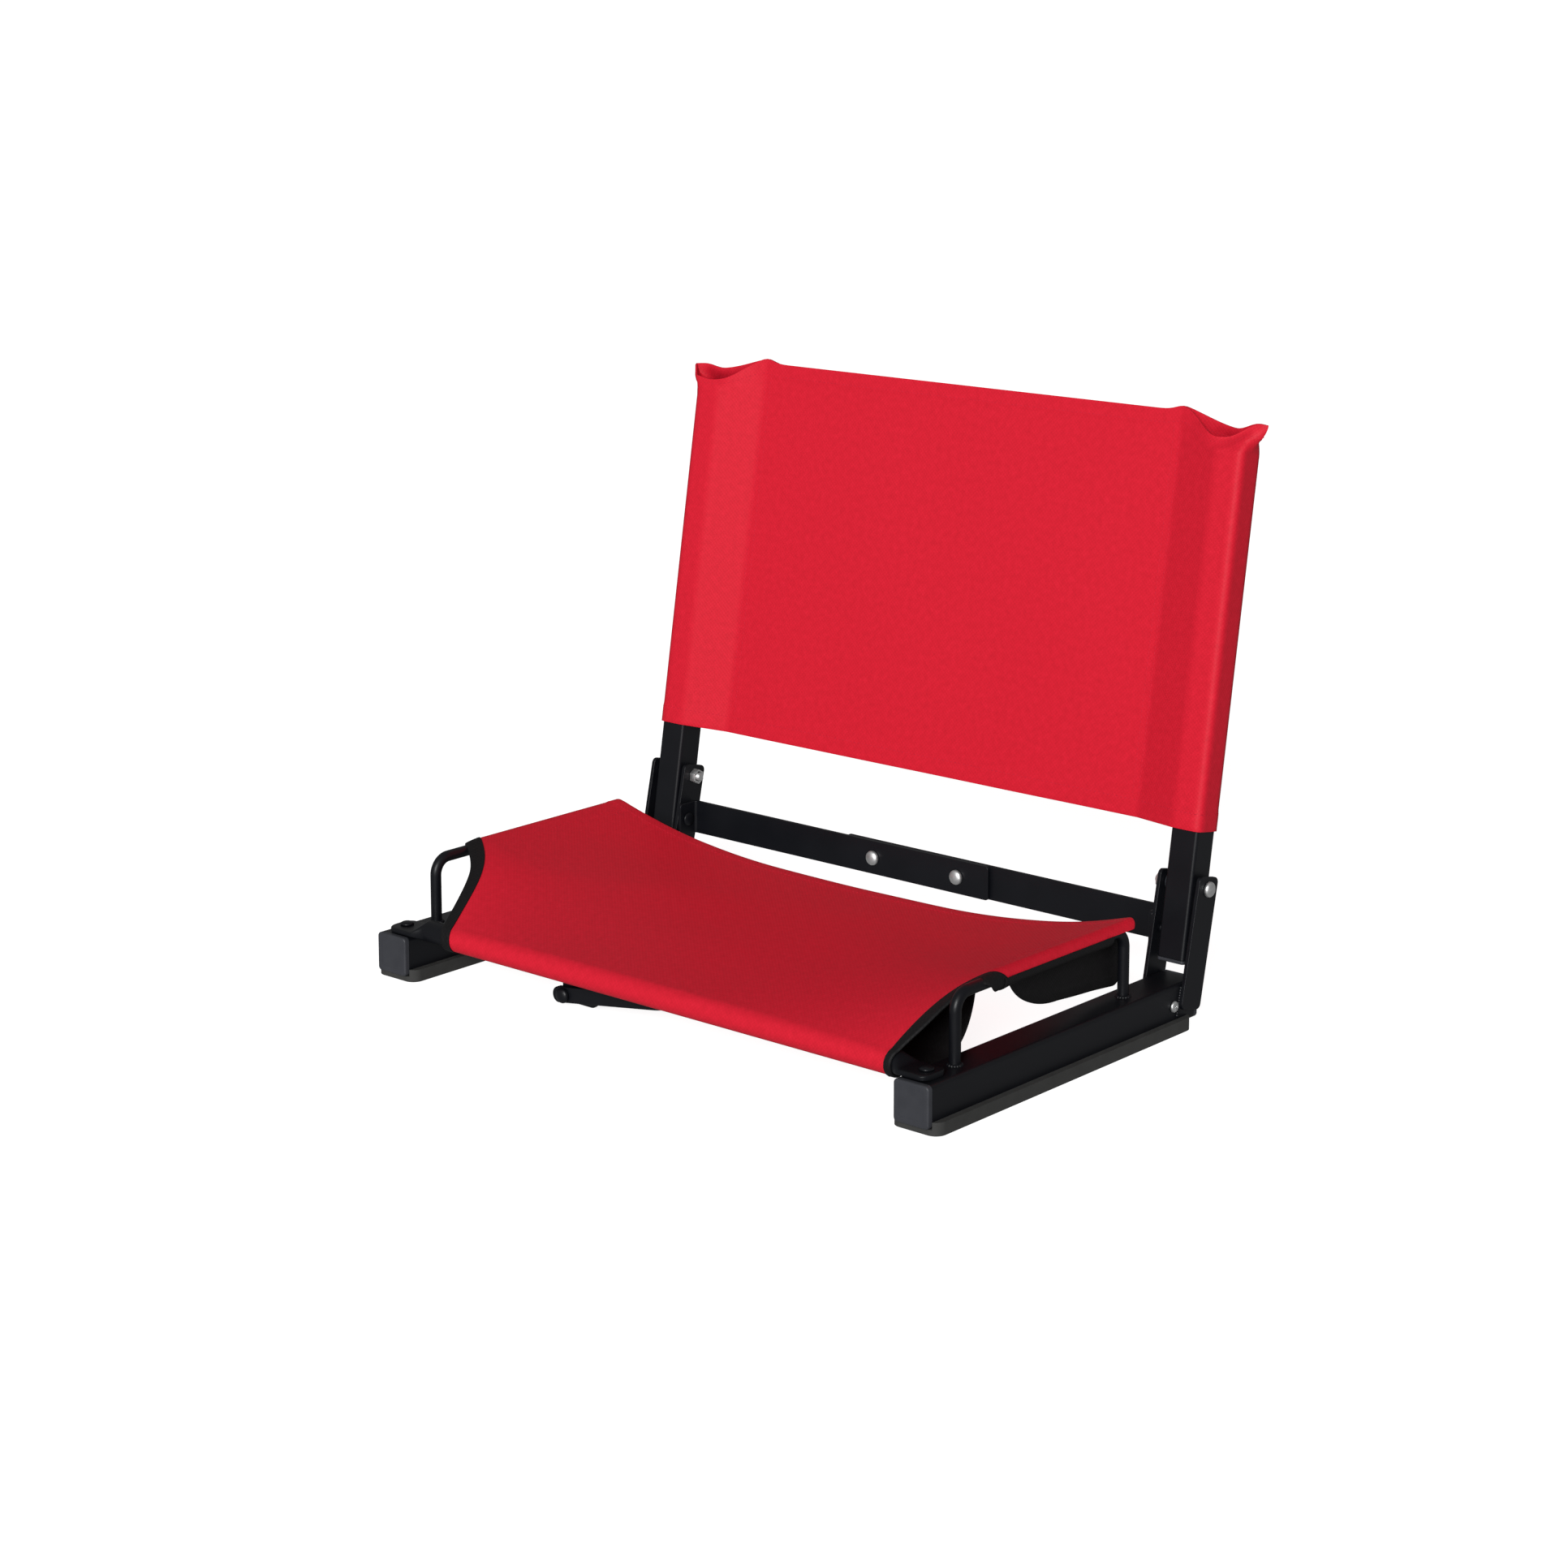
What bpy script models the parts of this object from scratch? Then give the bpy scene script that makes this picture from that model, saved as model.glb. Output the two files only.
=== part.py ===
"""Folding stadium chair: two foot rails, rod loops, sling seat, fold-down back and bleacher hook.

Metres, +Z up, the chair faces -Y. Left and right are as seen from the front.
Distances called setback are measured back from the front face of the rails' front caps.
"""
import math

import bmesh
import bpy
from mathutils import Euler, Matrix, Vector

MM = 0.001

# Shared clearances
GAP = 0.3 * MM                   # air between pieces that touch
HOLE_AIR = 0.3 * MM              # radial air round a bolt or rivet

# Foot rails, their plugs and their rubber runners
RAIL_SPACING = 479.4 * MM        # centre to centre
RAIL_SIZE = 28.6 * MM
RAIL_WALL = 1.6 * MM
RAIL_CORNER = 3.0 * MM
RAIL_LENGTH = 291.0 * MM
CAP_FLANGE = 4.0 * MM
FRONT_STUB = 7.0 * MM
REAR_STUB = 34.0 * MM
RUNNER_BASE = 4.0 * MM
RUNNER_LIP_WIDTH = 5.0 * MM
RUNNER_LIP_HEIGHT = 5.0 * MM
RUNNER_ROUND = 8.0 * MM          # corners seen from above
RUNNER_SETBACK = 6.0 * MM
RUNNER_REAR = 8.0 * MM           # rail past the runner's rear end
PLUG_SCREW_AIR = 1.8 * MM        # between the screw's head and the hinge plate
PLUG_SCREW_DIAMETER = 4.0 * MM
PLUG_SCREW_LENGTH = 12.0 * MM

# Side rod loops that carry the seat
ROD_DIAMETER = 8.0 * MM
ROD_RISE = 46.9 * MM             # rod axis above the rail
ROD_SETBACK = 45.0 * MM          # front leg
ROD_LENGTH = 185.0 * MM          # front leg to rear leg
ROD_BEND = 12.0 * MM

# Front bar with flattened end tabs, riveted on the rails
BAR_DIAMETER = 16.0 * MM
BAR_SETBACK = 16.0 * MM
BAR_LIFT = 2.0 * MM              # bar's axis above the middle of its tabs
TAB_WIDTH = 24.0 * MM
TAB_THICKNESS = 4.0 * MM
TAB_LENGTH = 22.0 * MM
TAB_PAST = 8.0 * MM              # tab outside its rivet
TAPER_LENGTH = 11.0 * MM

# Rear crossbar: two flat bars lapped and bolted at mid width
CROSSBAR_HEIGHT = 25.4 * MM
CROSSBAR_THICKNESS = 3.0 * MM
CROSSBAR_BOTTOM = 50.3 * MM
CROSSBAR_FORWARD = 2.0 * MM      # front face of the left bar, in front of the fold pivot
CROSSBAR_LAP = 136.0 * MM
CROSSBAR_BOLT_SPACING = 79.0 * MM
FLANGE_LENGTH = 20.0 * MM
FLANGE_BEND = 5.0 * MM

# Hinge plates on the rails and the fold pivot through them
PIVOT_PAST = 9.2 * MM            # fold pivot behind the rail
PIVOT_HEIGHT = 95.0 * MM
PLATE_WIDTH = 23.0 * MM
PLATE_THICKNESS = 3.0 * MM
PLATE_ABOVE = 8.5 * MM
PLATE_AIR = 1.5 * MM             # between a plate and the runner
PLATE_CORNER = 4.0 * MM
PLATE_LEAN = math.radians(12.5)
BUSH_DIAMETER = 13.0 * MM

# Uprights of the back
UPRIGHT_SIZE = 22.2 * MM
UPRIGHT_WALL = 1.6 * MM
UPRIGHT_CORNER = 2.5 * MM
UPRIGHT_ABOVE = 294.0 * MM
UPRIGHT_BELOW = 51.0 * MM
UPRIGHT_LEAN = math.radians(9.5)
UPRIGHT_PLUG = 2.5 * MM
UPRIGHT_STUB = 14.0 * MM

# Fasteners
BOLT_DIAMETER = 6.0 * MM
BOLT_HEAD = 11.0 * MM
BOLT_HEAD_HEIGHT = 4.0 * MM
BOLT_END = 2.0 * MM              # bolt that shows past its nut
NUT_WIDTH = 10.0 * MM
NUT_HEIGHT = 5.0 * MM
RIVET_DIAMETER = 5.0 * MM
RIVET_HEAD = 10.0 * MM
RIVET_HEAD_HEIGHT = 2.4 * MM
RIVET_TAIL = 7.5 * MM
RIVET_TAIL_HEIGHT = 1.6 * MM

# Bleacher hook and the bracket behind the front bar that carries it
HOOK_SIDE = -97.0 * MM           # pivot bolt from the middle of the chair
HOOK_PIVOT_HEIGHT = 10.8 * MM
HOOK_WIDTH = 11.5 * MM
HOOK_THICKNESS = 5.0 * MM
HOOK_ARM = 94.0 * MM
HOOK_END = 11.0 * MM             # arm past the pivot
HOOK_TOE = 44.0 * MM
HOOK_BEND = 8.0 * MM             # inner radius where the toe turns back
HOOK_RISE = math.radians(8.6)
HOOK_AIR = 7.2 * MM              # between the front bar and the arm
BRACKET_WIDTH = 33.0 * MM
BRACKET_THICKNESS = 3.0 * MM
BRACKET_BEND = 4.0 * MM
BRACKET_EDGE = 6.0 * MM          # bracket beside and below the pivot bolt

# Seat cloth
CLOTH = 1.4 * MM
CLOTH_AIR = 0.4 * MM             # between cloth and the metal inside it
SEAT_SAG = 25.0 * MM
SEAT_SAG_POWER = 3.0
SEAT_REAR = 241.0 * MM           # setback of the rear edge
SEAT_RAMP_END = 77.0 * MM        # setback where the rise from the front bar ends
SLEEVE_TURN = math.radians(200)
SLEEVE_END_TURN = math.radians(100)
TUCK_TURN = math.radians(-100)
LEAVE_TURN = math.radians(70)
NOTCH_AIR = 3.2 * MM             # between the corner binding and the front bar's taper
NOTCH_START = 13.0 * MM          # setback where the cut-away corner starts to curve
NOTCH_LENGTH = 82.0 * MM
NOTCH_POWER = 4.0
UNDERLAY_REAR = 103.0 * MM       # setback where the layer under the front bar meets the seat
UNDERLAY_TURN = 24.0 * MM        # length over which it drops from the seat
UNDERLAY_RISE = 5.0 * MM         # step up behind the front bar, clear of the hook
UNDERLAY_LEAVE = 12.0 * MM       # length of that step
BRACKET_SLOT = 2.0 * MM          # slot in that layer, round the hook's bracket
BINDING_WIDTH = 12.0 * MM
BINDING_THICKNESS = 2.2 * MM

# Flaps that hang inside the rod loops
FLAP_FRONT = 110.0 * MM
FLAP_REAR = 236.0 * MM
FLAP_BOTTOM_FRONT = 44.1 * MM
FLAP_BOTTOM_REAR = 38.5 * MM
FLAP_CURVE = 55.0 * MM           # length of the curved front corner
FLAP_ROUND = 9.0 * MM            # rear corner
FLAP_INSET = 8.0 * MM            # from the rod's axis to the middle of the flap

# Back sleeve
HEM_ABOVE = 39.0 * MM            # hem above the fold pivot, along the uprights
SLEEVE_ABOVE = 325.8 * MM        # top edge above the fold pivot
SEAM_HALF = 193.0 * MM           # pocket seams from the middle of the chair
SEAM_PEAK = 3.2 * MM
EAR_DROP = 5.8 * MM
EAR_SHARE = 0.7                  # of the outer wall that shows in the flat ear
POCKET_DIP = 8.0 * MM
POCKET_FRONT_DIP = 4.0 * MM      # the front layer dips further
POCKET_MOUTH = 3.6 * MM          # how far the layers part at the top of a pocket
POCKET_CLOTH = 1.2 * MM
PANEL_CLOTH = 1.6 * MM
POCKET_CHAMFER = 1.5 * MM
PILLOW_START = 3.0 * MM          # above the plug, where the pocket starts to close

# Derived places
RAIL_X = RAIL_SPACING / 2
RAIL_BOTTOM = RUNNER_BASE + GAP
RAIL_TOP = RAIL_BOTTOM + RAIL_SIZE
RAIL_MIDDLE = RAIL_BOTTOM + RAIL_SIZE / 2
RAIL_START = CAP_FLANGE + GAP
RAIL_END = RAIL_START + RAIL_LENGTH
PIVOT_SETBACK = RAIL_END + PIVOT_PAST
CROSSBAR_SETBACK = PIVOT_SETBACK - CROSSBAR_FORWARD
PLATE_DROP = PIVOT_HEIGHT - RUNNER_BASE - RUNNER_LIP_HEIGHT - PLATE_AIR
PLATE_BELOW = (PLATE_DROP - PLATE_WIDTH / 2 * math.sin(PLATE_LEAN)) / math.cos(PLATE_LEAN)
PILLOW = UPRIGHT_ABOVE + UPRIGHT_PLUG + PILLOW_START
POCKET_HALF = UPRIGHT_SIZE / 2 + CLOTH_AIR + POCKET_CLOTH
DEPTH = PIVOT_SETBACK + PILLOW * math.sin(UPRIGHT_LEAN) + POCKET_HALF * math.cos(UPRIGHT_LEAN)
FRONT_Y = -DEPTH / 2             # where the front caps start, which centres the chair on Y
RUNNER_LENGTH = RAIL_END - RUNNER_REAR - RUNNER_SETBACK
PLATE_FRONT = PLATE_WIDTH / 2 / math.cos(PLATE_LEAN) + (PIVOT_HEIGHT - RAIL_MIDDLE) * math.tan(PLATE_LEAN)
PLUG_SCREW_SETBACK = PIVOT_SETBACK - PLATE_FRONT - PLUG_SCREW_DIAMETER - PLUG_SCREW_AIR
ROD_HEIGHT = RAIL_TOP + ROD_RISE
TAB_MIDDLE = RAIL_TOP + GAP + TAB_THICKNESS / 2
BAR_HEIGHT = TAB_MIDDLE + BAR_LIFT
TAB_END = RAIL_X + TAB_PAST
PLATE_OFFSET = RAIL_SIZE / 2 + GAP
BUSH_LENGTH = PLATE_OFFSET - UPRIGHT_SIZE / 2 - 2 * GAP
CROSSBAR_MIDDLE = CROSSBAR_BOTTOM + CROSSBAR_HEIGHT / 2
FLANGE_X = RAIL_X - PLATE_OFFSET - PLATE_THICKNESS - GAP
ROD_SEAT_RADIUS = ROD_DIAMETER / 2 + CLOTH_AIR + CLOTH / 2
BAR_SEAT_RADIUS = BAR_DIAMETER / 2 + CLOTH_AIR + CLOTH / 2
LEAVE_ROD = math.atan(SEAT_SAG_POWER * SEAT_SAG / RAIL_X)
SEAT_EDGE_X = RAIL_X - ROD_SEAT_RADIUS * math.sin(LEAVE_ROD)
SEAT_EDGE_Z = ROD_HEIGHT + ROD_SEAT_RADIUS * math.cos(LEAVE_ROD)
SLEEVE_WRAP = ROD_SEAT_RADIUS * (SLEEVE_TURN + LEAVE_ROD)
TAPER_START = TAB_END - TAB_LENGTH - TAPER_LENGTH
NOTCH_HALF = TAPER_START - NOTCH_AIR - BINDING_WIDTH     # half width of the cloth round the front bar
NOTCH_END_HALF = RAIL_X + 2 * ROD_SEAT_RADIUS
ROD_STRAIGHT_END = ROD_SETBACK + ROD_LENGTH - ROD_BEND
HOOK_FRONT = BAR_SETBACK + BAR_DIAMETER / 2 + HOOK_AIR
BRACKET_FRONT = HOOK_FRONT + HOOK_THICKNESS + GAP

SIDES = (("left", -1), ("right", 1))
ALONG_X = (math.radians(90), 0.0, math.radians(90))    # local x, y, z become Y, Z, X
ALONG_Y = (math.radians(90), 0.0, 0.0)                 # local x, y, z become X, Z, -Y


def clear_scene():
    for old in list(bpy.data.objects):
        bpy.data.objects.remove(old, do_unlink=True)


def add_collection(name):
    group = bpy.data.collections.new(name)
    bpy.context.scene.collection.children.link(group)
    return group


def add_material(name, color, roughness, metallic=0.0):
    material = bpy.data.materials.new(name)
    material.use_nodes = True
    shader = material.node_tree.nodes["Principled BSDF"]
    shader.inputs["Base Color"].default_value = (*color, 1.0)
    shader.inputs["Roughness"].default_value = roughness
    shader.inputs["Metallic"].default_value = metallic
    return material


clear_scene()
PARTS = add_collection("stadium_chair")
CUTTERS = add_collection("cutters")

BLACK_STEEL = add_material("black_powder_coat", (0.012, 0.012, 0.013), 0.45, 0.2)
ZINC = add_material("zinc_plate", (0.60, 0.61, 0.62), 0.3, 1.0)
PLASTIC = add_material("grey_plastic", (0.045, 0.047, 0.055), 0.5)
RUBBER = add_material("grey_rubber", (0.042, 0.043, 0.040), 0.8)
RED_CLOTH = add_material("red_woven_polyester", (0.55, 0.020, 0.036), 0.85)
BLACK_CLOTH = add_material("black_woven_polyester", (0.014, 0.013, 0.013), 0.9)


def setback(distance):
    return FRONT_Y + distance


def add_object(name, data, material, location=(0, 0, 0), rotation=(0, 0, 0), parent=None):
    thing = bpy.data.objects.new(name, data)
    PARTS.objects.link(thing)
    data.materials.append(material)
    thing.location = location
    thing.rotation_euler = rotation
    thing.parent = parent
    return thing


def mesh_from(shape, name):
    shape.normal_update()
    bmesh.ops.recalc_face_normals(shape, faces=shape.faces[:])
    if shape.calc_volume(signed=True) < 0.0:
        bmesh.ops.reverse_faces(shape, faces=shape.faces[:])
    mesh = bpy.data.meshes.new(name)
    shape.to_mesh(mesh)
    shape.free()
    return mesh


def arc(center, radius, start, end, steps):
    turns = [start + (end - start) * i / steps for i in range(steps + 1)]
    return [(center[0] + radius * math.cos(a), center[1] + radius * math.sin(a)) for a in turns]


def circle(radius, steps=16, center=(0.0, 0.0)):
    return arc(center, radius, 0.0, 2 * math.pi, steps)[:-1]


def hexagon(width):
    return circle(width / math.sqrt(3), 6)


def rounded(corners, radii, steps=4):
    """Outline of a polygon whose corners are rounded, each by its own radius."""
    outline = []
    for i, corner in enumerate(corners):
        here = Vector(corner)
        to_last = (Vector(corners[i - 1]) - here).normalized()
        to_next = (Vector(corners[(i + 1) % len(corners)]) - here).normalized()
        if radii[i] == 0.0:
            outline.append(tuple(here))
            continue
        half = to_last.angle(to_next) / 2
        center = here + (to_last + to_next).normalized() * radii[i] / math.sin(half)
        first = here + to_last * radii[i] / math.tan(half) - center
        last = here + to_next * radii[i] / math.tan(half) - center
        turn = first.angle_signed(last)
        for k in range(steps + 1):
            spot = Matrix.Rotation(-turn * k / steps, 2) @ first
            outline.append(tuple(center + spot))
    return outline


def rounded_square(size, corner, steps=3):
    half = size / 2
    corners = [(-half, -half), (half, -half), (half, half), (-half, half)]
    return rounded(corners, [corner] * 4, steps)


def prism_mesh(name, loops, depth):
    """Flat outline with holes, drawn in local XY and extruded along local Z."""
    shape = bmesh.new()
    for loop in loops:
        verts = [shape.verts.new((x, y, 0.0)) for x, y in loop]
        for i, vert in enumerate(verts):
            shape.edges.new((verts[i - 1], vert))
    bmesh.ops.triangle_fill(shape, edges=shape.edges[:], use_beauty=True)
    raised = bmesh.ops.extrude_face_region(shape, geom=shape.faces[:])
    top = [item for item in raised["geom"] if isinstance(item, bmesh.types.BMVert)]
    bmesh.ops.translate(shape, verts=top, vec=(0.0, 0.0, depth))
    return mesh_from(shape, name)


def add_prism(name, loops, depth, material, location, rotation, parent=None):
    return add_object(name, prism_mesh(name, loops, depth), material, location, rotation, parent)


def loft_mesh(name, rings):
    """Closed skin over rings of points with equal counts."""
    shape = bmesh.new()
    edge_loops = []
    for ring in rings:
        verts = [shape.verts.new(point) for point in ring]
        edge_loops.append([shape.edges.new((verts[i - 1], vert)) for i, vert in enumerate(verts)])
    for lower, upper in zip(edge_loops, edge_loops[1:]):
        bmesh.ops.bridge_loops(shape, edges=lower + upper)
    bmesh.ops.edgeloop_fill(shape, edges=edge_loops[0])
    bmesh.ops.edgeloop_fill(shape, edges=edge_loops[-1])
    return mesh_from(shape, name)


def slab_mesh(name, columns, rows, place):
    """Grid extruded into a thin closed slab, each vertex set by place(column, row, side)."""
    shape = bmesh.new()
    bmesh.ops.create_grid(shape, x_segments=columns, y_segments=rows, size=0.5)
    raised = bmesh.ops.extrude_face_region(shape, geom=shape.faces[:])
    top = {item for item in raised["geom"] if isinstance(item, bmesh.types.BMVert)}
    for vert in shape.verts:
        column = round((vert.co.x + 0.5) * columns)
        row = round((vert.co.y + 0.5) * rows)
        vert.co = place(column, row, 1 if vert in top else 0)
    return mesh_from(shape, name)


def add_turned(name, profile, material, location, rotation, parent=None, steps=16):
    """Profile of (radius, height) pairs from axis to axis, turned round local Z."""
    mesh = bpy.data.meshes.new(name)
    edges = [(i, i + 1) for i in range(len(profile) - 1)]
    mesh.from_pydata([(radius, 0.0, height) for radius, height in profile], edges, [])
    thing = add_object(name, mesh, material, location, rotation, parent)
    turn = thing.modifiers.new("turned", "SCREW")
    turn.axis = "Z"
    turn.steps = steps
    turn.render_steps = steps
    turn.use_merge_vertices = True
    turn.merge_threshold = 0.00001
    turn.use_normal_calculate = True
    return thing


def dome(diameter, height, points=4):
    """Low domed head, from its rim to the axis."""
    turns = [math.pi / 2 * i / points for i in range(points + 1)]
    rim = height * 0.3
    edge = [(diameter / 2 * math.cos(a), rim + (height - rim) * math.sin(a)) for a in turns[:-1]]
    return edge + [(0.0, height)]


def bolt_profile(shank):
    radius = BOLT_DIAMETER / 2
    low = [(0.0, -shank), (radius, -shank), (radius, 0.0), (BOLT_HEAD / 2, 0.0)]
    return low + dome(BOLT_HEAD, BOLT_HEAD_HEIGHT)


def rivet_profile(grip):
    """Domed head, shank through the grip and a set tail behind it."""
    radius = RIVET_DIAMETER / 2
    tail = -grip - RIVET_TAIL_HEIGHT
    low = [(0.0, tail), (RIVET_TAIL / 2, tail), (RIVET_TAIL / 2, -grip), (radius, -grip)]
    return low + [(radius, 0.0), (RIVET_HEAD / 2, 0.0)] + dome(RIVET_HEAD, RIVET_HEAD_HEIGHT)


def add_nut(name, location, rotation):
    loops = [hexagon(NUT_WIDTH), circle(BOLT_DIAMETER / 2 + HOLE_AIR)]
    add_prism(name, loops, NUT_HEIGHT, ZINC, location, rotation)


def drill(target, name, diameter, length, location, rotation, parent=None):
    """Round hole, centred on location and running along the cutter's local Z."""
    shape = bmesh.new()
    radius = diameter / 2 + HOLE_AIR
    bmesh.ops.create_cone(shape, cap_ends=True, segments=16, radius1=radius, radius2=radius, depth=length)
    cut(target, name, mesh_from(shape, name), location, rotation, parent)


def cut(target, name, mesh, location=(0, 0, 0), rotation=(0, 0, 0), parent=None, operation="DIFFERENCE"):
    cutter = bpy.data.objects.new(name, mesh)
    CUTTERS.objects.link(cutter)
    cutter.location = location
    cutter.rotation_euler = rotation
    cutter.parent = parent
    cutter.hide_render = True
    cutter.display_type = "WIRE"
    boolean = target.modifiers.new(name, "BOOLEAN")
    boolean.operation = operation
    boolean.solver = "EXACT"
    boolean.object = cutter


def add_empty(name, location, rotation=(0, 0, 0)):
    empty = bpy.data.objects.new(name, None)
    PARTS.objects.link(empty)
    empty.location = location
    empty.rotation_euler = rotation
    return empty


def facing_x(side):
    """Rotation that points local Z outward, to the left or the right."""
    return (0.0, math.radians(90) * side, 0.0)


def plug_mesh(name, size, corner, bore, flange, stub):
    """End plug along local Z: flange below zero and stub above, ready to slide into a tube."""
    edge = 0.8 * MM
    inside = bore - 2 * GAP
    shape = bmesh.new()
    last = size - 2 * edge
    cap = shape.faces.new([shape.verts.new((x, y, -flange)) for x, y in rounded_square(last, corner)])
    for width, height in ((size, edge - flange), (size, -GAP), (inside, -GAP), (inside, stub)):
        raised = bmesh.ops.extrude_face_region(shape, geom=[cap])["geom"]
        ring = [item for item in raised if isinstance(item, bmesh.types.BMVert)]
        if height > edge - flange:
            shape.faces.remove(cap)
        cap = next(item for item in raised if isinstance(item, bmesh.types.BMFace))
        bmesh.ops.scale(shape, verts=ring, vec=(width / last, width / last, 1.0))
        bmesh.ops.translate(shape, verts=ring, vec=(0.0, 0.0, height - ring[0].co.z))
        last = width
    return mesh_from(shape, name)


def make_rail(side_name, side):
    x = RAIL_X * side
    bore = RAIL_SIZE - 2 * RAIL_WALL
    loops = [rounded_square(RAIL_SIZE, RAIL_CORNER), rounded_square(bore, RAIL_CORNER / 2)]
    rail = add_prism(
        f"rail_{side_name}", loops, RAIL_LENGTH, BLACK_STEEL, (x, setback(RAIL_END), RAIL_MIDDLE), ALONG_Y
    )
    drill(
        rail, f"rivet_hole_{side_name}", RIVET_DIAMETER, RAIL_SIZE,
        (x, setback(BAR_SETBACK), RAIL_TOP), (0, 0, 0),
    )
    drill(
        rail, f"plug_screw_hole_{side_name}", PLUG_SCREW_DIAMETER, RAIL_SIZE,
        (x + RAIL_SIZE / 2 * side, setback(PLUG_SCREW_SETBACK), RAIL_MIDDLE), ALONG_X,
    )
    front = plug_mesh(f"front_cap_{side_name}", RAIL_SIZE, RAIL_CORNER, bore, CAP_FLANGE + GAP, FRONT_STUB)
    front_turn = (math.radians(-90), 0.0, 0.0)
    add_object(f"front_cap_{side_name}", front, PLASTIC, (x, setback(RAIL_START), RAIL_MIDDLE), front_turn)
    rear = plug_mesh(f"rear_plug_{side_name}", RAIL_SIZE, RAIL_CORNER, bore, CAP_FLANGE + GAP, REAR_STUB)
    plug = add_object(f"rear_plug_{side_name}", rear, PLASTIC, (x, setback(RAIL_END), RAIL_MIDDLE), ALONG_Y)
    drill(
        plug, f"plug_thread_{side_name}", PLUG_SCREW_DIAMETER, 2 * (PLUG_SCREW_LENGTH + GAP),
        (x + RAIL_SIZE / 2 * side, setback(PLUG_SCREW_SETBACK), RAIL_MIDDLE), ALONG_X,
    )
    add_turned(
        f"plug_screw_{side_name}",
        [(0.0, -PLUG_SCREW_LENGTH), (PLUG_SCREW_DIAMETER / 2, -PLUG_SCREW_LENGTH)]
        + [(PLUG_SCREW_DIAMETER / 2, 0.0), (PLUG_SCREW_DIAMETER, 0.0)]
        + dome(2 * PLUG_SCREW_DIAMETER, 0.6 * PLUG_SCREW_DIAMETER),
        ZINC, (x + (RAIL_SIZE / 2 + GAP) * side, setback(PLUG_SCREW_SETBACK), RAIL_MIDDLE), facing_x(side),
    )


def make_runner(side_name, side):
    """Rubber channel that the rail stands in, wider than the rail and round at its corners."""
    seat = RAIL_SIZE / 2 + GAP
    half = seat + RUNNER_LIP_WIDTH
    start = setback(RUNNER_SETBACK)
    end = start + RUNNER_LENGTH
    plan = [(-half, start), (half, start), (half, end), (-half, end)]
    height = RUNNER_BASE + RUNNER_LIP_HEIGHT
    outline = rounded(plan, [RUNNER_ROUND] * 4)
    runner = add_prism(f"runner_{side_name}", [outline], height, RUBBER, (RAIL_X * side, 0, 0), (0, 0, 0))
    channel = [(-seat, start - height), (seat, start - height), (seat, end + height), (-seat, end + height)]
    cutter = prism_mesh(f"channel_{side_name}", [channel], height)
    cut(runner, f"channel_{side_name}", cutter, (RAIL_X * side, 0, RUNNER_BASE))


def make_rod_loop(side_name, side):
    """Bent wire: two legs on the rail and the top rod that the seat hangs on."""
    top = ROD_HEIGHT
    front = setback(ROD_SETBACK)
    rear = setback(ROD_SETBACK + ROD_LENGTH)
    foot = RAIL_TOP + GAP
    quarter = math.pi / 2
    route = [(front, foot)]
    route += arc((front + ROD_BEND, top - ROD_BEND), ROD_BEND, 2 * quarter, quarter, 5)
    route += arc((rear - ROD_BEND, top - ROD_BEND), ROD_BEND, quarter, 0.0, 5)
    route += [(rear, foot)]
    wire = bpy.data.curves.new(f"rod_loop_{side_name}", "CURVE")
    wire.dimensions = "3D"
    wire.bevel_depth = ROD_DIAMETER / 2
    wire.bevel_resolution = 3
    wire.use_fill_caps = True
    spline = wire.splines.new("POLY")
    spline.points.add(len(route) - 1)
    for point, (y, z) in zip(spline.points, route):
        point.co = (RAIL_X * side, y, z, 1.0)
    add_object(f"rod_loop_{side_name}", wire, BLACK_STEEL)


def bar_ring(x, flat):
    """Section of the front bar: round where flat is 0 and pressed to a tab where it is 1."""
    ring = []
    half_width = (BAR_DIAMETER * (1 - flat) + TAB_WIDTH * flat) / 2
    half_height = (BAR_DIAMETER * (1 - flat) + TAB_THICKNESS * flat) / 2
    power = 1.0 - 0.6 * flat
    for i in range(20):
        turn = 2 * math.pi * (i + 0.5) / 20
        y = half_width * math.copysign(abs(math.cos(turn)) ** power, math.cos(turn))
        z = half_height * math.copysign(abs(math.sin(turn)) ** power, math.sin(turn))
        ring.append((x, setback(BAR_SETBACK) + y, TAB_MIDDLE + BAR_LIFT * (1 - flat) + z))
    return ring


def make_front_bar():
    steps = 4
    stations = [(TAPER_START + TAPER_LENGTH * i / steps, i / steps) for i in range(steps + 1)]
    stations.append((TAB_END, 1.0))
    blend = [(x, t * t * (3 - 2 * t)) for x, t in stations]
    rings = [bar_ring(-x, flat) for x, flat in reversed(blend)] + [bar_ring(x, flat) for x, flat in blend]
    bar = add_object("front_bar", loft_mesh("front_bar", rings), BLACK_STEEL)
    grip = TAB_THICKNESS + 2 * GAP + RAIL_WALL + GAP
    for side_name, side in SIDES:
        place = (RAIL_X * side, setback(BAR_SETBACK), RAIL_TOP + GAP + TAB_THICKNESS + GAP)
        drill(bar, f"tab_hole_{side_name}", RIVET_DIAMETER, RAIL_SIZE, place, (0, 0, 0))
        add_turned(f"front_bar_rivet_{side_name}", rivet_profile(grip), BLACK_STEEL, place, (0, 0, 0))


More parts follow.
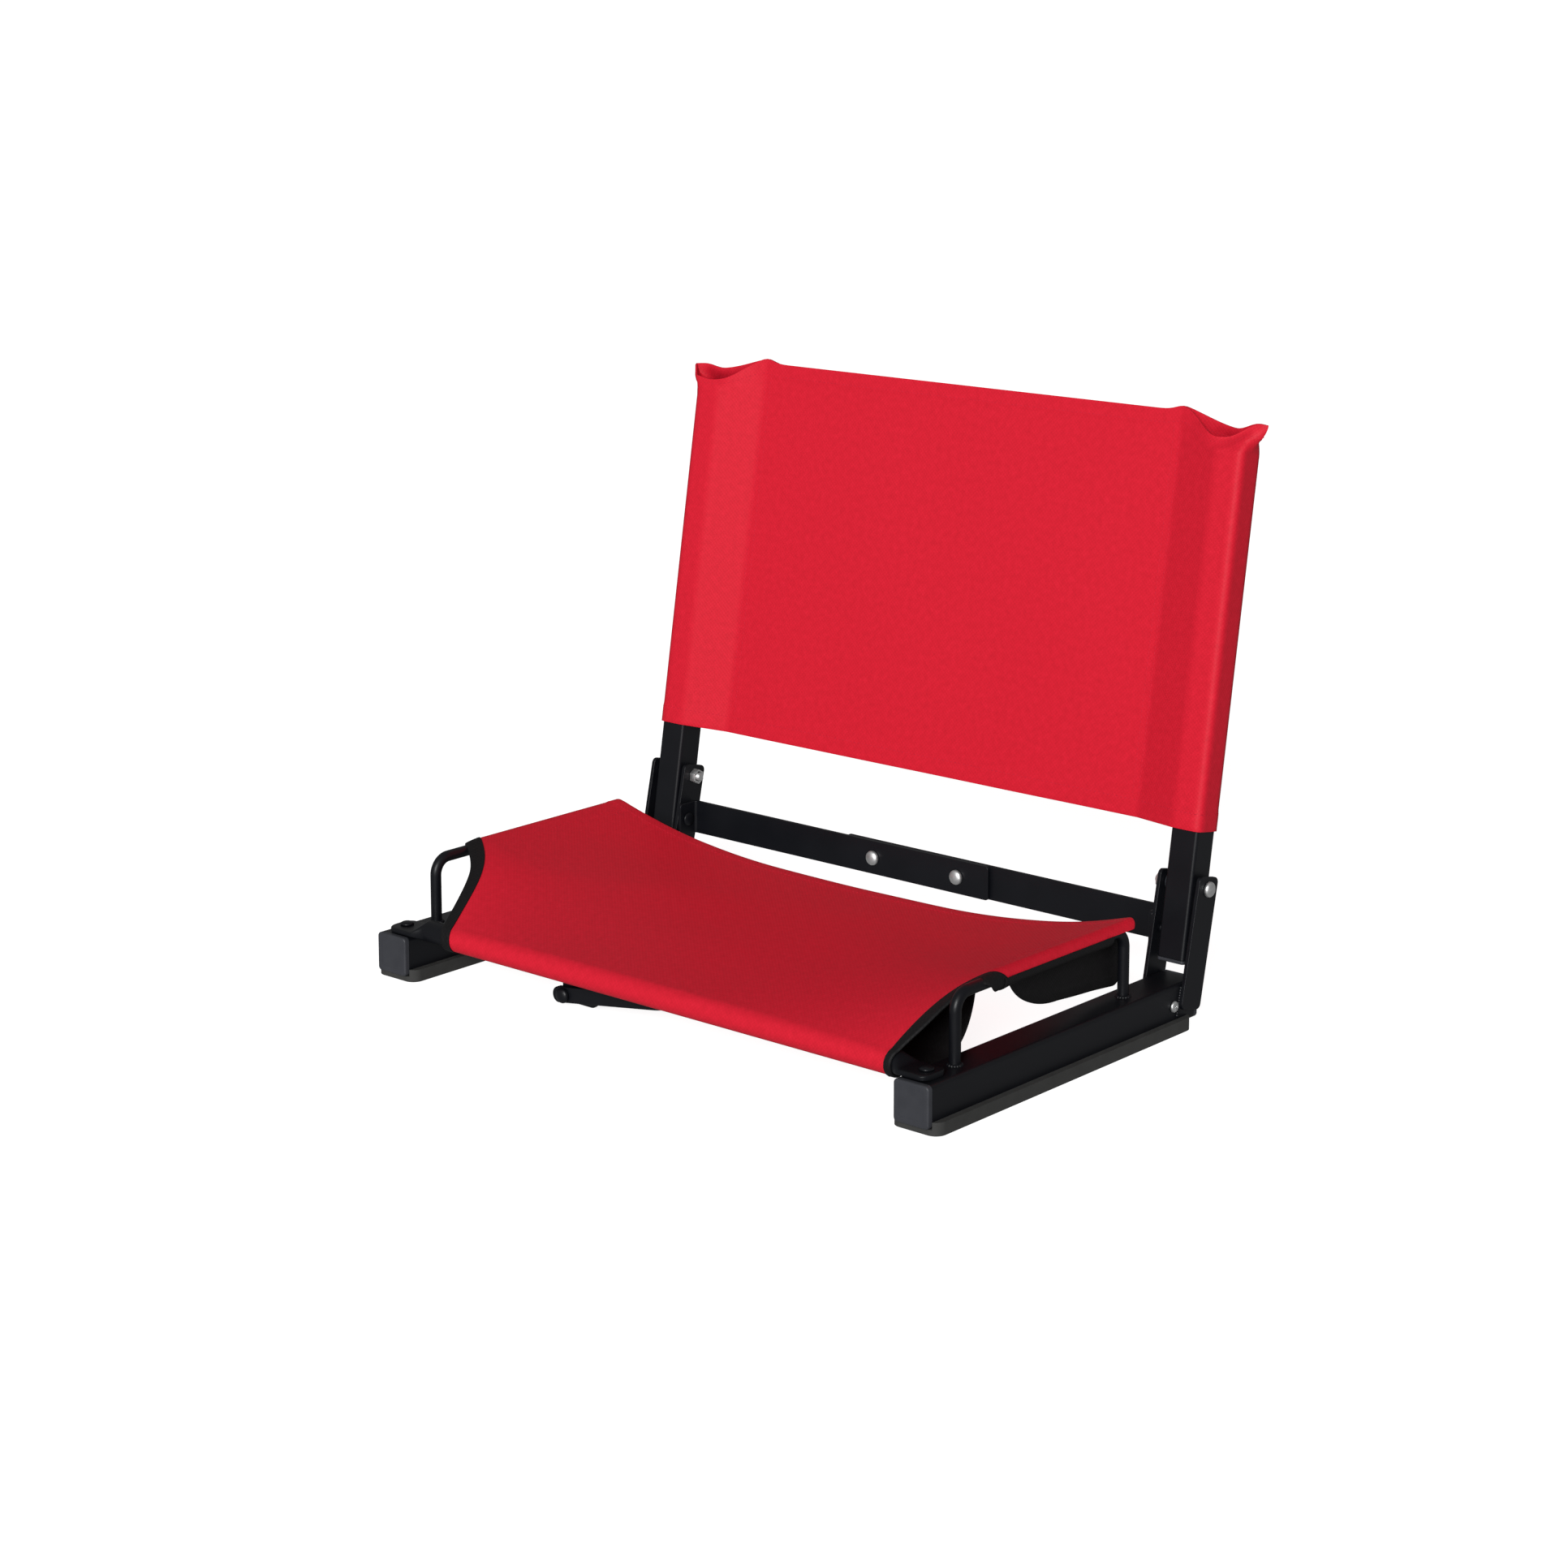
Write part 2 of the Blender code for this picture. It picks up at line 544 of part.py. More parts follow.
def make_crossbars():
    """Two bars lapped at mid width, each with an end turned forward along an inner hinge plate."""
    bolt_grip = 2 * CROSSBAR_THICKNESS + 3 * GAP
    for side_name, side in SIDES:
        layer = 0.0 if side < 0 else CROSSBAR_THICKNESS + GAP
        front = setback(CROSSBAR_SETBACK) + layer
        rear = front + CROSSBAR_THICKNESS
        tip = rear - FLANGE_LENGTH
        end = CROSSBAR_LAP / 2
        outer = FLANGE_X
        inner = FLANGE_X - CROSSBAR_THICKNESS
        corners = [(-end, front), (-end, rear), (outer, rear), (outer, tip), (inner, tip), (inner, front)]
        radii = [0.0, 0.0, FLANGE_BEND, 0.0, 0.0, FLANGE_BEND - CROSSBAR_THICKNESS]
        outline = [(x * side, y) for x, y in rounded(corners, radii)]
        bar = add_prism(
            f"crossbar_{side_name}", [outline], CROSSBAR_HEIGHT, BLACK_STEEL,
            (0, 0, CROSSBAR_BOTTOM), (0, 0, 0),
        )
        for bolt_name, bolt_side in SIDES:
            place = (CROSSBAR_BOLT_SPACING / 2 * bolt_side, front, CROSSBAR_MIDDLE)
            drill(bar, f"lap_hole_{side_name}_{bolt_name}", BOLT_DIAMETER, CROSSBAR_HEIGHT, place, ALONG_Y)
        rivet_y = tip + FLANGE_LENGTH * 0.4
        place = ((inner - GAP) * side, rivet_y, CROSSBAR_MIDDLE)
        drill(bar, f"flange_hole_{side_name}", RIVET_DIAMETER, CROSSBAR_HEIGHT, place, ALONG_X)
        plate = bpy.data.objects[f"hinge_plate_{side_name}_inner"]
        drill(plate, f"plate_rivet_hole_{side_name}", RIVET_DIAMETER, CROSSBAR_HEIGHT, place, ALONG_X)
        rivet_grip = CROSSBAR_THICKNESS + PLATE_THICKNESS + 3 * GAP
        rivet = rivet_profile(rivet_grip)
        add_turned(f"flange_rivet_{side_name}", rivet, BLACK_STEEL, place, facing_x(-side))
    shank = bolt_grip + NUT_HEIGHT + GAP + BOLT_END
    for bolt_name, bolt_side in SIDES:
        x = CROSSBAR_BOLT_SPACING / 2 * bolt_side
        head_y = setback(CROSSBAR_SETBACK) - GAP
        place = (x, head_y, CROSSBAR_MIDDLE)
        add_turned(f"crossbar_bolt_{bolt_name}", bolt_profile(shank), ZINC, place, ALONG_Y)
        nut_y = head_y + bolt_grip + GAP + NUT_HEIGHT
        add_nut(f"crossbar_nut_{bolt_name}", (x, nut_y, CROSSBAR_MIDDLE), ALONG_Y)


def make_hinge(side_name, side):
    """Two plates on the rail's sides, with bushes, a pivot bolt and its nut."""
    pivot = Vector((RAIL_X * side, setback(PIVOT_SETBACK), PIVOT_HEIGHT))
    half = PLATE_WIDTH / 2
    corners = [(-half, -PLATE_BELOW), (half, -PLATE_BELOW), (half, PLATE_ABOVE), (-half, PLATE_ABOVE)]
    outline = rounded(corners, [PLATE_CORNER] * 4, 3)
    hole = circle(BOLT_DIAMETER / 2 + HOLE_AIR)
    turn = (Matrix.Rotation(-PLATE_LEAN, 3, "X") @ Euler(ALONG_X).to_matrix()).to_euler()
    for place_name, outward in (("outer", 1), ("inner", -1)):
        face = side * outward
        inside = PLATE_OFFSET if face > 0 else -PLATE_OFFSET - PLATE_THICKNESS
        add_prism(
            f"hinge_plate_{side_name}_{place_name}", [outline, hole], PLATE_THICKNESS, BLACK_STEEL,
            pivot + Vector((inside, 0, 0)), turn,
        )
        start = UPRIGHT_SIZE / 2 + GAP
        bush_x = start if face > 0 else -start - BUSH_LENGTH
        add_prism(
            f"pivot_bush_{side_name}_{place_name}", [circle(BUSH_DIAMETER / 2), hole], BUSH_LENGTH, PLASTIC,
            pivot + Vector((bush_x, 0, 0)), ALONG_X,
        )
    head = PLATE_OFFSET + PLATE_THICKNESS + GAP
    shank = 2 * head + NUT_HEIGHT + BOLT_END
    bolt_place = pivot + Vector((head * side, 0, 0))
    add_turned(f"pivot_bolt_{side_name}", bolt_profile(shank), ZINC, bolt_place, facing_x(side))
    nut_x = -head * side if side < 0 else -head - NUT_HEIGHT
    add_nut(f"pivot_nut_{side_name}", pivot + Vector((nut_x, 0, 0)), ALONG_X)


def make_upright(side_name, side, fold):
    """Square tube on the fold axis, with a plug in each end."""
    x = RAIL_X * side
    bore = UPRIGHT_SIZE - 2 * UPRIGHT_WALL
    loops = [rounded_square(UPRIGHT_SIZE, UPRIGHT_CORNER), rounded_square(bore, UPRIGHT_CORNER / 2)]
    tube = add_prism(
        f"upright_{side_name}", loops, UPRIGHT_ABOVE + UPRIGHT_BELOW, BLACK_STEEL,
        (x, 0, -UPRIGHT_BELOW), (0, 0, 0), fold,
    )
    drill(tube, f"pivot_hole_{side_name}", BOLT_DIAMETER, 2 * UPRIGHT_SIZE, (x, 0, 0), ALONG_X, fold)
    ends = (("top", UPRIGHT_ABOVE, math.radians(180)), ("bottom", -UPRIGHT_BELOW, 0.0))
    for end_name, height, turn in ends:
        name = f"upright_{end_name}_plug_{side_name}"
        plug = plug_mesh(name, UPRIGHT_SIZE, UPRIGHT_CORNER, bore, UPRIGHT_PLUG + GAP, UPRIGHT_STUB)
        add_object(name, plug, PLASTIC, (x, 0, height), (turn, 0.0, 0.0), fold)


def make_hook(hook_pivot):
    """Bracket behind the front bar, and the arm with its toe that swings on it."""
    bracket_rear = BRACKET_FRONT + BRACKET_THICKNESS
    bar_rear = BAR_SETBACK + BAR_DIAMETER / 2 + GAP
    low = HOOK_PIVOT_HEIGHT - BRACKET_EDGE
    high = BAR_HEIGHT + BRACKET_THICKNESS / 2
    corners = [
        (bar_rear, high - BRACKET_THICKNESS), (BRACKET_FRONT, high - BRACKET_THICKNESS), (BRACKET_FRONT, low),
        (bracket_rear, low), (bracket_rear, high), (bar_rear, high),
    ]
    radii = [0.0, BRACKET_BEND - BRACKET_THICKNESS, 0.0, 0.0, BRACKET_BEND, 0.0]
    outline = [(setback(y), z) for y, z in rounded(corners, radii)]
    start_x = HOOK_SIDE - BRACKET_EDGE
    bracket = add_prism("hook_bracket", [outline], BRACKET_WIDTH, BLACK_STEEL, (start_x, 0, 0), ALONG_X)
    bolt_y = setback(HOOK_FRONT) - GAP
    drill(
        bracket, "hook_bolt_hole", BOLT_DIAMETER, 6 * BRACKET_THICKNESS,
        (HOOK_SIDE, setback(BRACKET_FRONT), HOOK_PIVOT_HEIGHT), ALONG_Y,
    )
    grip = HOOK_THICKNESS + BRACKET_THICKNESS + 3 * GAP
    add_turned(
        "hook_bolt", bolt_profile(grip + GAP + NUT_HEIGHT + BOLT_END), BLACK_STEEL,
        (HOOK_SIDE, bolt_y, HOOK_PIVOT_HEIGHT), ALONG_Y,
    )
    nut_y = bolt_y + grip + GAP + NUT_HEIGHT
    add_nut("hook_nut", (HOOK_SIDE, nut_y, HOOK_PIVOT_HEIGHT), ALONG_Y)
    make_hook_arm(hook_pivot)


def make_hook_arm(hook_pivot):
    """Flat bar seen from above: a long arm and a toe turned back, round at the pivot end."""
    outer = HOOK_BEND + HOOK_THICKNESS
    reach = HOOK_ARM + HOOK_THICKNESS
    corners = [
        (-HOOK_END, 0.0), (reach, 0.0), (reach, HOOK_TOE), (HOOK_ARM, HOOK_TOE),
        (HOOK_ARM, HOOK_THICKNESS), (-HOOK_END, HOOK_THICKNESS),
    ]
    outline = rounded(corners, [0.0, outer, 0.0, 0.0, HOOK_BEND, 0.0])
    arm = add_prism(
        "bleacher_hook", [outline], HOOK_WIDTH, BLACK_STEEL, (0, 0, -HOOK_WIDTH / 2), (0, 0, 0), hook_pivot
    )
    middle = (0, HOOK_THICKNESS / 2, 0)
    drill(arm, "hook_arm_hole", BOLT_DIAMETER, 4 * HOOK_THICKNESS, middle, ALONG_Y, hook_pivot)
    soften = arm.modifiers.new("edges", "BEVEL")
    soften.width = 0.8 * MM
    soften.segments = 2
    soften.angle_limit = math.radians(60)


def smooth(t):
    t = min(max(t, 0.0), 1.0)
    return t * t * (3 - 2 * t)


def seat_height(x):
    """Height of the sagging cloth between the rods."""
    return SEAT_EDGE_Z - SEAT_SAG * (1 - min(abs(x) / SEAT_EDGE_X, 1.0) ** SEAT_SAG_POWER)


def seat_point(s, turn, y):
    """Middle of the cloth: s runs across it and round the rods at its ends. turn is used on the front bar."""
    if turn is not None:
        bar_y = BAR_SETBACK - BAR_SEAT_RADIUS * math.cos(turn)
        return Vector((s, setback(bar_y), BAR_HEIGHT + BAR_SEAT_RADIUS * math.sin(turn)))
    leave_y = BAR_SETBACK - BAR_SEAT_RADIUS * math.cos(LEAVE_TURN)
    leave_z = BAR_HEIGHT + BAR_SEAT_RADIUS * math.sin(LEAVE_TURN)
    t = min((y - leave_y) / (SEAT_RAMP_END - leave_y), 1.0)
    rise = (math.sin(math.pi / 2 * t) + t) / 2
    x = s
    z = seat_height(s)
    past = abs(s) - SEAT_EDGE_X
    if past > 0.0:
        roll = past / ROD_SEAT_RADIUS - LEAVE_ROD
        x = math.copysign(RAIL_X + ROD_SEAT_RADIUS * math.sin(roll), s)
        z = ROD_HEIGHT + ROD_SEAT_RADIUS * math.cos(roll)
    return Vector((s + (x - s) * rise, setback(y), leave_z + (z - leave_z) * rise))


def cloth_spot(s, row, lift):
    """Point at a height above the middle of the cloth, along its normal."""
    step = 0.05 * MM
    turn, y = seat_row(row)
    across = seat_point(s + step, turn, y) - seat_point(s - step, turn, y)
    if turn is None:
        along = seat_point(s, None, y + step) - seat_point(s, None, y - step)
    else:
        along = seat_point(s, turn + 0.01, y) - seat_point(s, turn - 0.01, y)
    return seat_point(s, turn, y) + across.cross(along).normalized() * lift


TUCK_ROWS = 7
RAMP_ROWS = 5
SEAT_ROWS = 3
EDGE_COLUMNS = 8
MIDDLE_COLUMNS = 10


def seat_row(row):
    """Turn round the front bar, or setback behind it, of a row of the cloth."""
    leave_y = BAR_SETBACK - BAR_SEAT_RADIUS * math.cos(LEAVE_TURN)
    if row < TUCK_ROWS:
        return TUCK_TURN + (LEAVE_TURN - TUCK_TURN) * row / TUCK_ROWS, 0.0
    row -= TUCK_ROWS
    if row <= RAMP_ROWS:
        return None, leave_y + (SEAT_RAMP_END - leave_y) * row / RAMP_ROWS
    return None, SEAT_RAMP_END + (SEAT_REAR - SEAT_RAMP_END) * (row - RAMP_ROWS) / SEAT_ROWS


def notch_curve(offset):
    """Plan of the cut-away corner's edge, moved outward by offset, from the front to past the rod."""
    curve = []
    steps = 14
    width = NOTCH_END_HALF - NOTCH_HALF
    for i in range(steps + 1):
        t = i / steps
        slope = NOTCH_POWER * t ** (NOTCH_POWER - 1) * width / NOTCH_LENGTH
        normal = Vector((1.0, -slope)).normalized() * offset
        x = NOTCH_HALF + width * t ** NOTCH_POWER + normal.x
        curve.append((x, setback(NOTCH_START + NOTCH_LENGTH * t) + normal.y))
    return [(curve[0][0], setback(-NOTCH_START))] + curve


def plan_prism(name, outline, side):
    """Tall prism over a plan outline, mirrored for the left side."""
    return prism_mesh(name, [[(x * side, y) for x, y in outline]], 2 * ROD_HEIGHT)


def make_seat():
    columns = MIDDLE_COLUMNS + 2 * EDGE_COLUMNS

    def place(column, row, side):
        past = max(EDGE_COLUMNS - column, column - columns + EDGE_COLUMNS, 0)
        middle = min(max(2 * (column - EDGE_COLUMNS) / MIDDLE_COLUMNS - 1, -1.0), 1.0)
        s = SEAT_EDGE_X * middle + math.copysign(SLEEVE_WRAP * past / EDGE_COLUMNS, middle)
        return cloth_spot(s, row, (side - 0.5) * CLOTH)

    mesh = slab_mesh("seat_cloth", columns, TUCK_ROWS + RAMP_ROWS + SEAT_ROWS, place)
    seat = add_object("seat_cloth", mesh, RED_CLOTH)
    beyond = RAIL_X + RAIL_SIZE
    turn_drop = ROD_SEAT_RADIUS * math.cos(SLEEVE_END_TURN)
    for side_name, side in SIDES:
        curve = notch_curve(0.0)
        outline = curve + [(beyond, curve[-1][1]), (beyond, curve[0][1])]
        corner = plan_prism(f"notch_{side_name}", outline, side)
        cut(seat, f"notch_{side_name}", corner, (0, 0, -ROD_HEIGHT / 2))
        rear = setback(ROD_STRAIGHT_END - ROD_DIAMETER)
        inner = RAIL_X - ROD_SEAT_RADIUS
        past = setback(2 * SEAT_REAR)
        corners = [(inner, rear), (beyond, rear), (beyond, past), (inner, past)]
        under = plan_prism(f"sleeve_end_{side_name}", corners, side)
        cut(seat, f"sleeve_end_{side_name}", under, (0, 0, turn_drop - ROD_HEIGHT))


def make_binding(side_name, side):
    """Black tape round the cut-away front corner, from under the front bar up to the rod."""
    spans = [NOTCH_HALF - BINDING_WIDTH, (NOTCH_HALF + SEAT_EDGE_X) / 2]
    spans += [SEAT_EDGE_X + SLEEVE_WRAP * i / EDGE_COLUMNS for i in range(EDGE_COLUMNS + 1)]

    def place(column, row, layer):
        return cloth_spot(spans[column] * side, row, layer * BINDING_THICKNESS - CLOTH / 2)

    name = f"seat_binding_{side_name}"
    mesh = slab_mesh(name, len(spans) - 1, TUCK_ROWS + RAMP_ROWS + 1, place)
    tape = add_object(name, mesh, BLACK_CLOTH)
    outline = notch_curve(GAP) + list(reversed(notch_curve(BINDING_WIDTH)))
    strip = plan_prism(f"tape_{side_name}", outline, side)
    cut(tape, f"tape_{side_name}", strip, (0, 0, -ROD_HEIGHT / 2), operation="INTERSECT")


def make_underlay():
    """Black cloth that goes on from the seat's tuck, back under the seat to where it is sewn on."""
    half = NOTCH_HALF + BINDING_WIDTH
    rows = 16
    columns = 12

    def middle(x, t):
        start = Vector(seat_point(x, TUCK_TURN - GAP / BAR_SEAT_RADIUS, 0.0))
        y = start.y + (setback(UNDERLAY_REAR) - start.y) * t
        flat = setback(UNDERLAY_REAR) - UNDERLAY_TURN
        low = start.z + UNDERLAY_RISE * smooth((y - start.y) / UNDERLAY_LEAVE)
        turn = max((y - flat) / UNDERLAY_TURN, 0.0)
        high = seat_point(x, None, UNDERLAY_REAR).z - 1.2 * CLOTH - GAP
        return Vector((x, y, low + (high - low) * (1 - math.sqrt(1 - min(turn, 1.0) ** 2))))

    def place(column, row, side):
        x = half * (2 * column / columns - 1)
        t = (1 - math.cos(math.pi * row / rows)) / 2
        step = 0.002
        across = Vector((1.0, 0.0, 0.0))
        along = middle(x, min(t + step, 0.9999)) - middle(x, max(t - step, 0.0))
        return middle(x, t) + across.cross(along).normalized() * (side - 0.5) * CLOTH

    underlay = add_object("seat_underlay", slab_mesh("seat_underlay", columns, rows, place), BLACK_CLOTH)
    left = HOOK_SIDE - BRACKET_EDGE - BRACKET_SLOT
    right = HOOK_SIDE - BRACKET_EDGE + BRACKET_WIDTH + BRACKET_SLOT
    front = setback(BRACKET_FRONT) - BRACKET_SLOT
    rear = setback(BRACKET_FRONT) + BRACKET_THICKNESS + BRACKET_SLOT
    plan = [(left, front), (right, front), (right, rear), (left, rear)]
    slot = prism_mesh("bracket_slot", [plan], BAR_DIAMETER)
    cut(underlay, "bracket_slot", slot, (0, 0, RAIL_TOP - BAR_DIAMETER / 2))


def make_flap(side_name, side):
    """Cloth flap under the seat's edge, inside the rod loop."""
    x = RAIL_X - FLAP_INSET
    top = seat_height(x - CLOTH / 2) - CLOTH / 2 / math.cos(LEAVE_ROD) - GAP
    curve = arc((0.0, 0.0), 1.0, math.pi, math.pi * 1.5, 10)
    corners = [(FLAP_FRONT + FLAP_CURVE * (1 + a), top + (top - FLAP_BOTTOM_FRONT) * b) for a, b in curve]
    corners += [(FLAP_REAR, FLAP_BOTTOM_REAR), (FLAP_REAR, top)]
    radii = [0.0] * len(curve) + [FLAP_ROUND, 0.0]
    outline = [(setback(y), z) for y, z in rounded(corners, radii)]
    start_x = (x if side > 0 else -x) - CLOTH / 2
    add_prism(f"seat_flap_{side_name}", [outline], CLOTH, BLACK_CLOTH, (start_x, 0, 0), ALONG_X)


def pocket_path(inset):
    """Half section of a sleeve pocket, from its seam round to the outer wall, as (x, depth) pairs."""
    wall = POCKET_HALF - inset
    outer = RAIL_X + wall
    return [
        (SEAM_HALF + 5 * inset, PANEL_CLOTH / 2), (RAIL_X - wall, wall), (RAIL_X, wall),
        (outer - POCKET_CHAMFER, wall), (outer, wall - POCKET_CHAMFER),
    ]


def pocket_spot(station, shut, inset):
    """Place on the pocket: shut runs from 0, round the tube, to 1, sewn flat."""
    path = pocket_path(inset)
    lengths = [0.0]
    for here, there in zip(path, path[1:]):
        lengths.append(lengths[-1] + math.dist(here, there))
    x, depth = path[station]
    side_wall = EAR_SHARE * path[-1][1] * station / (len(path) - 1)
    flat_x = path[0][0] + lengths[station] + side_wall
    mouth = PANEL_CLOTH / 2 + POCKET_MOUTH * math.sin(math.pi * station / (len(path) - 1))
    thin = max(mouth - inset, 2 * GAP / 3)
    return x + (flat_x - x) * shut, depth + (thin - depth) * shut


SLEEVE_LEVELS = (0.0, 0.33, 0.67, 1.0)
PILLOW_LEVELS = (0.25, 0.5, 0.75, 1.0)
PANEL_STATIONS = 4


def sleeve_top(station, side):
    """Top edge of the sleeve: a peak at the seam, a dip over the tube and an ear at the corner."""
    if station < 0:
        return SLEEVE_ABOVE
    share = station / 4
    edge = SLEEVE_ABOVE + SEAM_PEAK - EAR_DROP * share - SEAM_PEAK * share
    dip = POCKET_DIP if side else POCKET_DIP + POCKET_FRONT_DIP
    return edge - dip * math.sin(math.pi * share)


def sleeve_spot(station, row, side, sign, inset, low, reach):
    """Corner of the sleeve's grid. A station below 0 is on the centre panel, and side 0 is the front layer."""
    top = sleeve_top(station, side) + reach
    if row < len(SLEEVE_LEVELS):
        height = low + (PILLOW - low) * SLEEVE_LEVELS[row]
        shut = 0.0
    else:
        share = PILLOW_LEVELS[row - len(SLEEVE_LEVELS)]
        height = PILLOW + (top - PILLOW) * share
        shut = smooth(share)
    if station < 0:
        x = SEAM_HALF * (1 + station / PANEL_STATIONS)
        depth = PANEL_CLOTH / 2
    else:
        x, depth = pocket_spot(station, shut, inset)
    return Vector((x * sign, depth if side else -depth, height))


def make_back_sleeve(fold):
    """One cloth panel with a pocket for each upright, wide open below and nearly closed at the top."""
    half = PANEL_STATIONS + 4
    rows = len(SLEEVE_LEVELS) + len(PILLOW_LEVELS) - 1

    def outside(column, row, side):
        station = abs(column - half) - PANEL_STATIONS
        return sleeve_spot(station, row, side, 1 if column > half else -1, 0.0, HEM_ABOVE, 0.0)

    mesh = slab_mesh("back_sleeve", 2 * half, rows, outside)
    sleeve = add_object("back_sleeve", mesh, RED_CLOTH, parent=fold)
    for side_name, sign in SIDES:
        def inside(column, row, side, sign=sign):
            return sleeve_spot(column, row, side, sign, POCKET_CLOTH, HEM_ABOVE - 10 * GAP, 10 * GAP)

        name = f"pocket_{side_name}"
        cut(sleeve, name, slab_mesh(name, 4, rows, inside), parent=fold)


def main():
    fold = add_empty("back_fold", (0, setback(PIVOT_SETBACK), PIVOT_HEIGHT), (-UPRIGHT_LEAN, 0, 0))
    hook_pivot = add_empty(
        "hook_pivot", (HOOK_SIDE, setback(HOOK_FRONT), HOOK_PIVOT_HEIGHT), (0, -HOOK_RISE, 0)
    )
    for side_name, side in SIDES:
        make_rail(side_name, side)
        make_runner(side_name, side)
        make_rod_loop(side_name, side)
        make_hinge(side_name, side)
        make_upright(side_name, side, fold)
        make_binding(side_name, side)
        make_flap(side_name, side)
    make_front_bar()
    make_crossbars()
    make_hook(hook_pivot)
    make_seat()
    make_underlay()
    make_back_sleeve(fold)
    bpy.context.view_layer.update()


main()
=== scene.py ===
from math import acos, atan, atan2, copysign, cos, exp, hypot, pi, radians, sin, sqrt, tan

import bmesh
import bpy
from mathutils import Matrix, Vector, noise


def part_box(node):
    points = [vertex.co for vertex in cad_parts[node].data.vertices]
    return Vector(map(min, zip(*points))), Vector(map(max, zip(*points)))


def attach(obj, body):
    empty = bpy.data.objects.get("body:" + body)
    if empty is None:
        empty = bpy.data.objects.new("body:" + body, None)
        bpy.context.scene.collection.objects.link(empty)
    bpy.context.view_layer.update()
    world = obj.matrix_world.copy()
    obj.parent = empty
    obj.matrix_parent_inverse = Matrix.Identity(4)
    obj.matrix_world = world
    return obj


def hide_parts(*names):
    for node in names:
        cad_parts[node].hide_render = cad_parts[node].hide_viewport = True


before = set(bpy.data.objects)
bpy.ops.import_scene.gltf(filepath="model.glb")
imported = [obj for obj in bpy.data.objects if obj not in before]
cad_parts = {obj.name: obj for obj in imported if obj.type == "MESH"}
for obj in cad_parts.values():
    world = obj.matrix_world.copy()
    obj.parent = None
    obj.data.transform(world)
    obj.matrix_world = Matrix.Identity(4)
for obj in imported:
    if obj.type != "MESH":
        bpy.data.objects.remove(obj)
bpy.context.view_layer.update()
mm = 0.001
gap = 0.3 * mm    # left between solids that touch
quarter = pi / 2
up = Vector((0, 0, 1))
sides = (("Left", "left", -1), ("Right", "right", 1))    # in piece names, in node names, sign of x
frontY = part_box("front_cap_left")[0][1]    # front faces of the rail caps; setbacks count from here
print("frame loaded with", len(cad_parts), "nodes")


def setback(distance):
    return frontY + distance


def mix(low, high, share):
    return low + (high - low) * share


def clamp(t):
    return min(max(t, 0.0), 1.0)


def span(low, high, steps=240):
    return [mix(low, high, i / steps) for i in range(steps + 1)]


def smoothStep(t):
    t = clamp(t)
    return t * t * (3 - 2 * t)


def hexColor(code):    # sRGB hex to linear RGBA
    parts = [int(code[i:i + 2], 16) / 255 for i in (0, 2, 4)]
    linear = [c / 12.92 if c <= 0.04045 else ((c + 0.055) / 1.055) ** 2.4 for c in parts]
    return (*linear, 1.0)


def addNode(tree, kind, settings=None, links=None):
    node = tree.nodes.new(kind)
    for key, value in (settings or {}).items():
        if isinstance(key, str) and hasattr(node, key):
            setattr(node, key, value)
        else:
            node.inputs[key].default_value = value
    for key, socket in (links or {}).items():
        tree.links.new(socket, node.inputs[key])
    return node


def newFinish(name, settings):
    finish = bpy.data.materials.new(name)
    finish.use_nodes = True
    tree = finish.node_tree
    shader = tree.nodes["Principled BSDF"]
    for key, value in settings.items():
        shader.inputs[key].default_value = value
    return finish, tree, shader


clothLook = {
    "red": ("b01224", "c5172b", "d81f36"),    # darkest, middle and lightest tone: the weave paints shade into its dips and a highlight onto its raised threads, and dye and slubs vary the tone too
    "black": ("0a0a0a", "121112", "1c1b1c"),
    "thread": 1.5 * mm,    # real threads are about 0.45 mm apart; drawn coarser, so the weave shows
    "weave": 0.2,          # share of the tones that the weave takes up, as painted shade in its dips and painted highlight on its raised threads
    "uneven": ((5.0 * mm, 4.0, 0.5), (3.75 * mm, 2.0, 0.4)),    # dye and slubs: size, detail, share
    "bump": (0.35, 0.10 * mm),
}


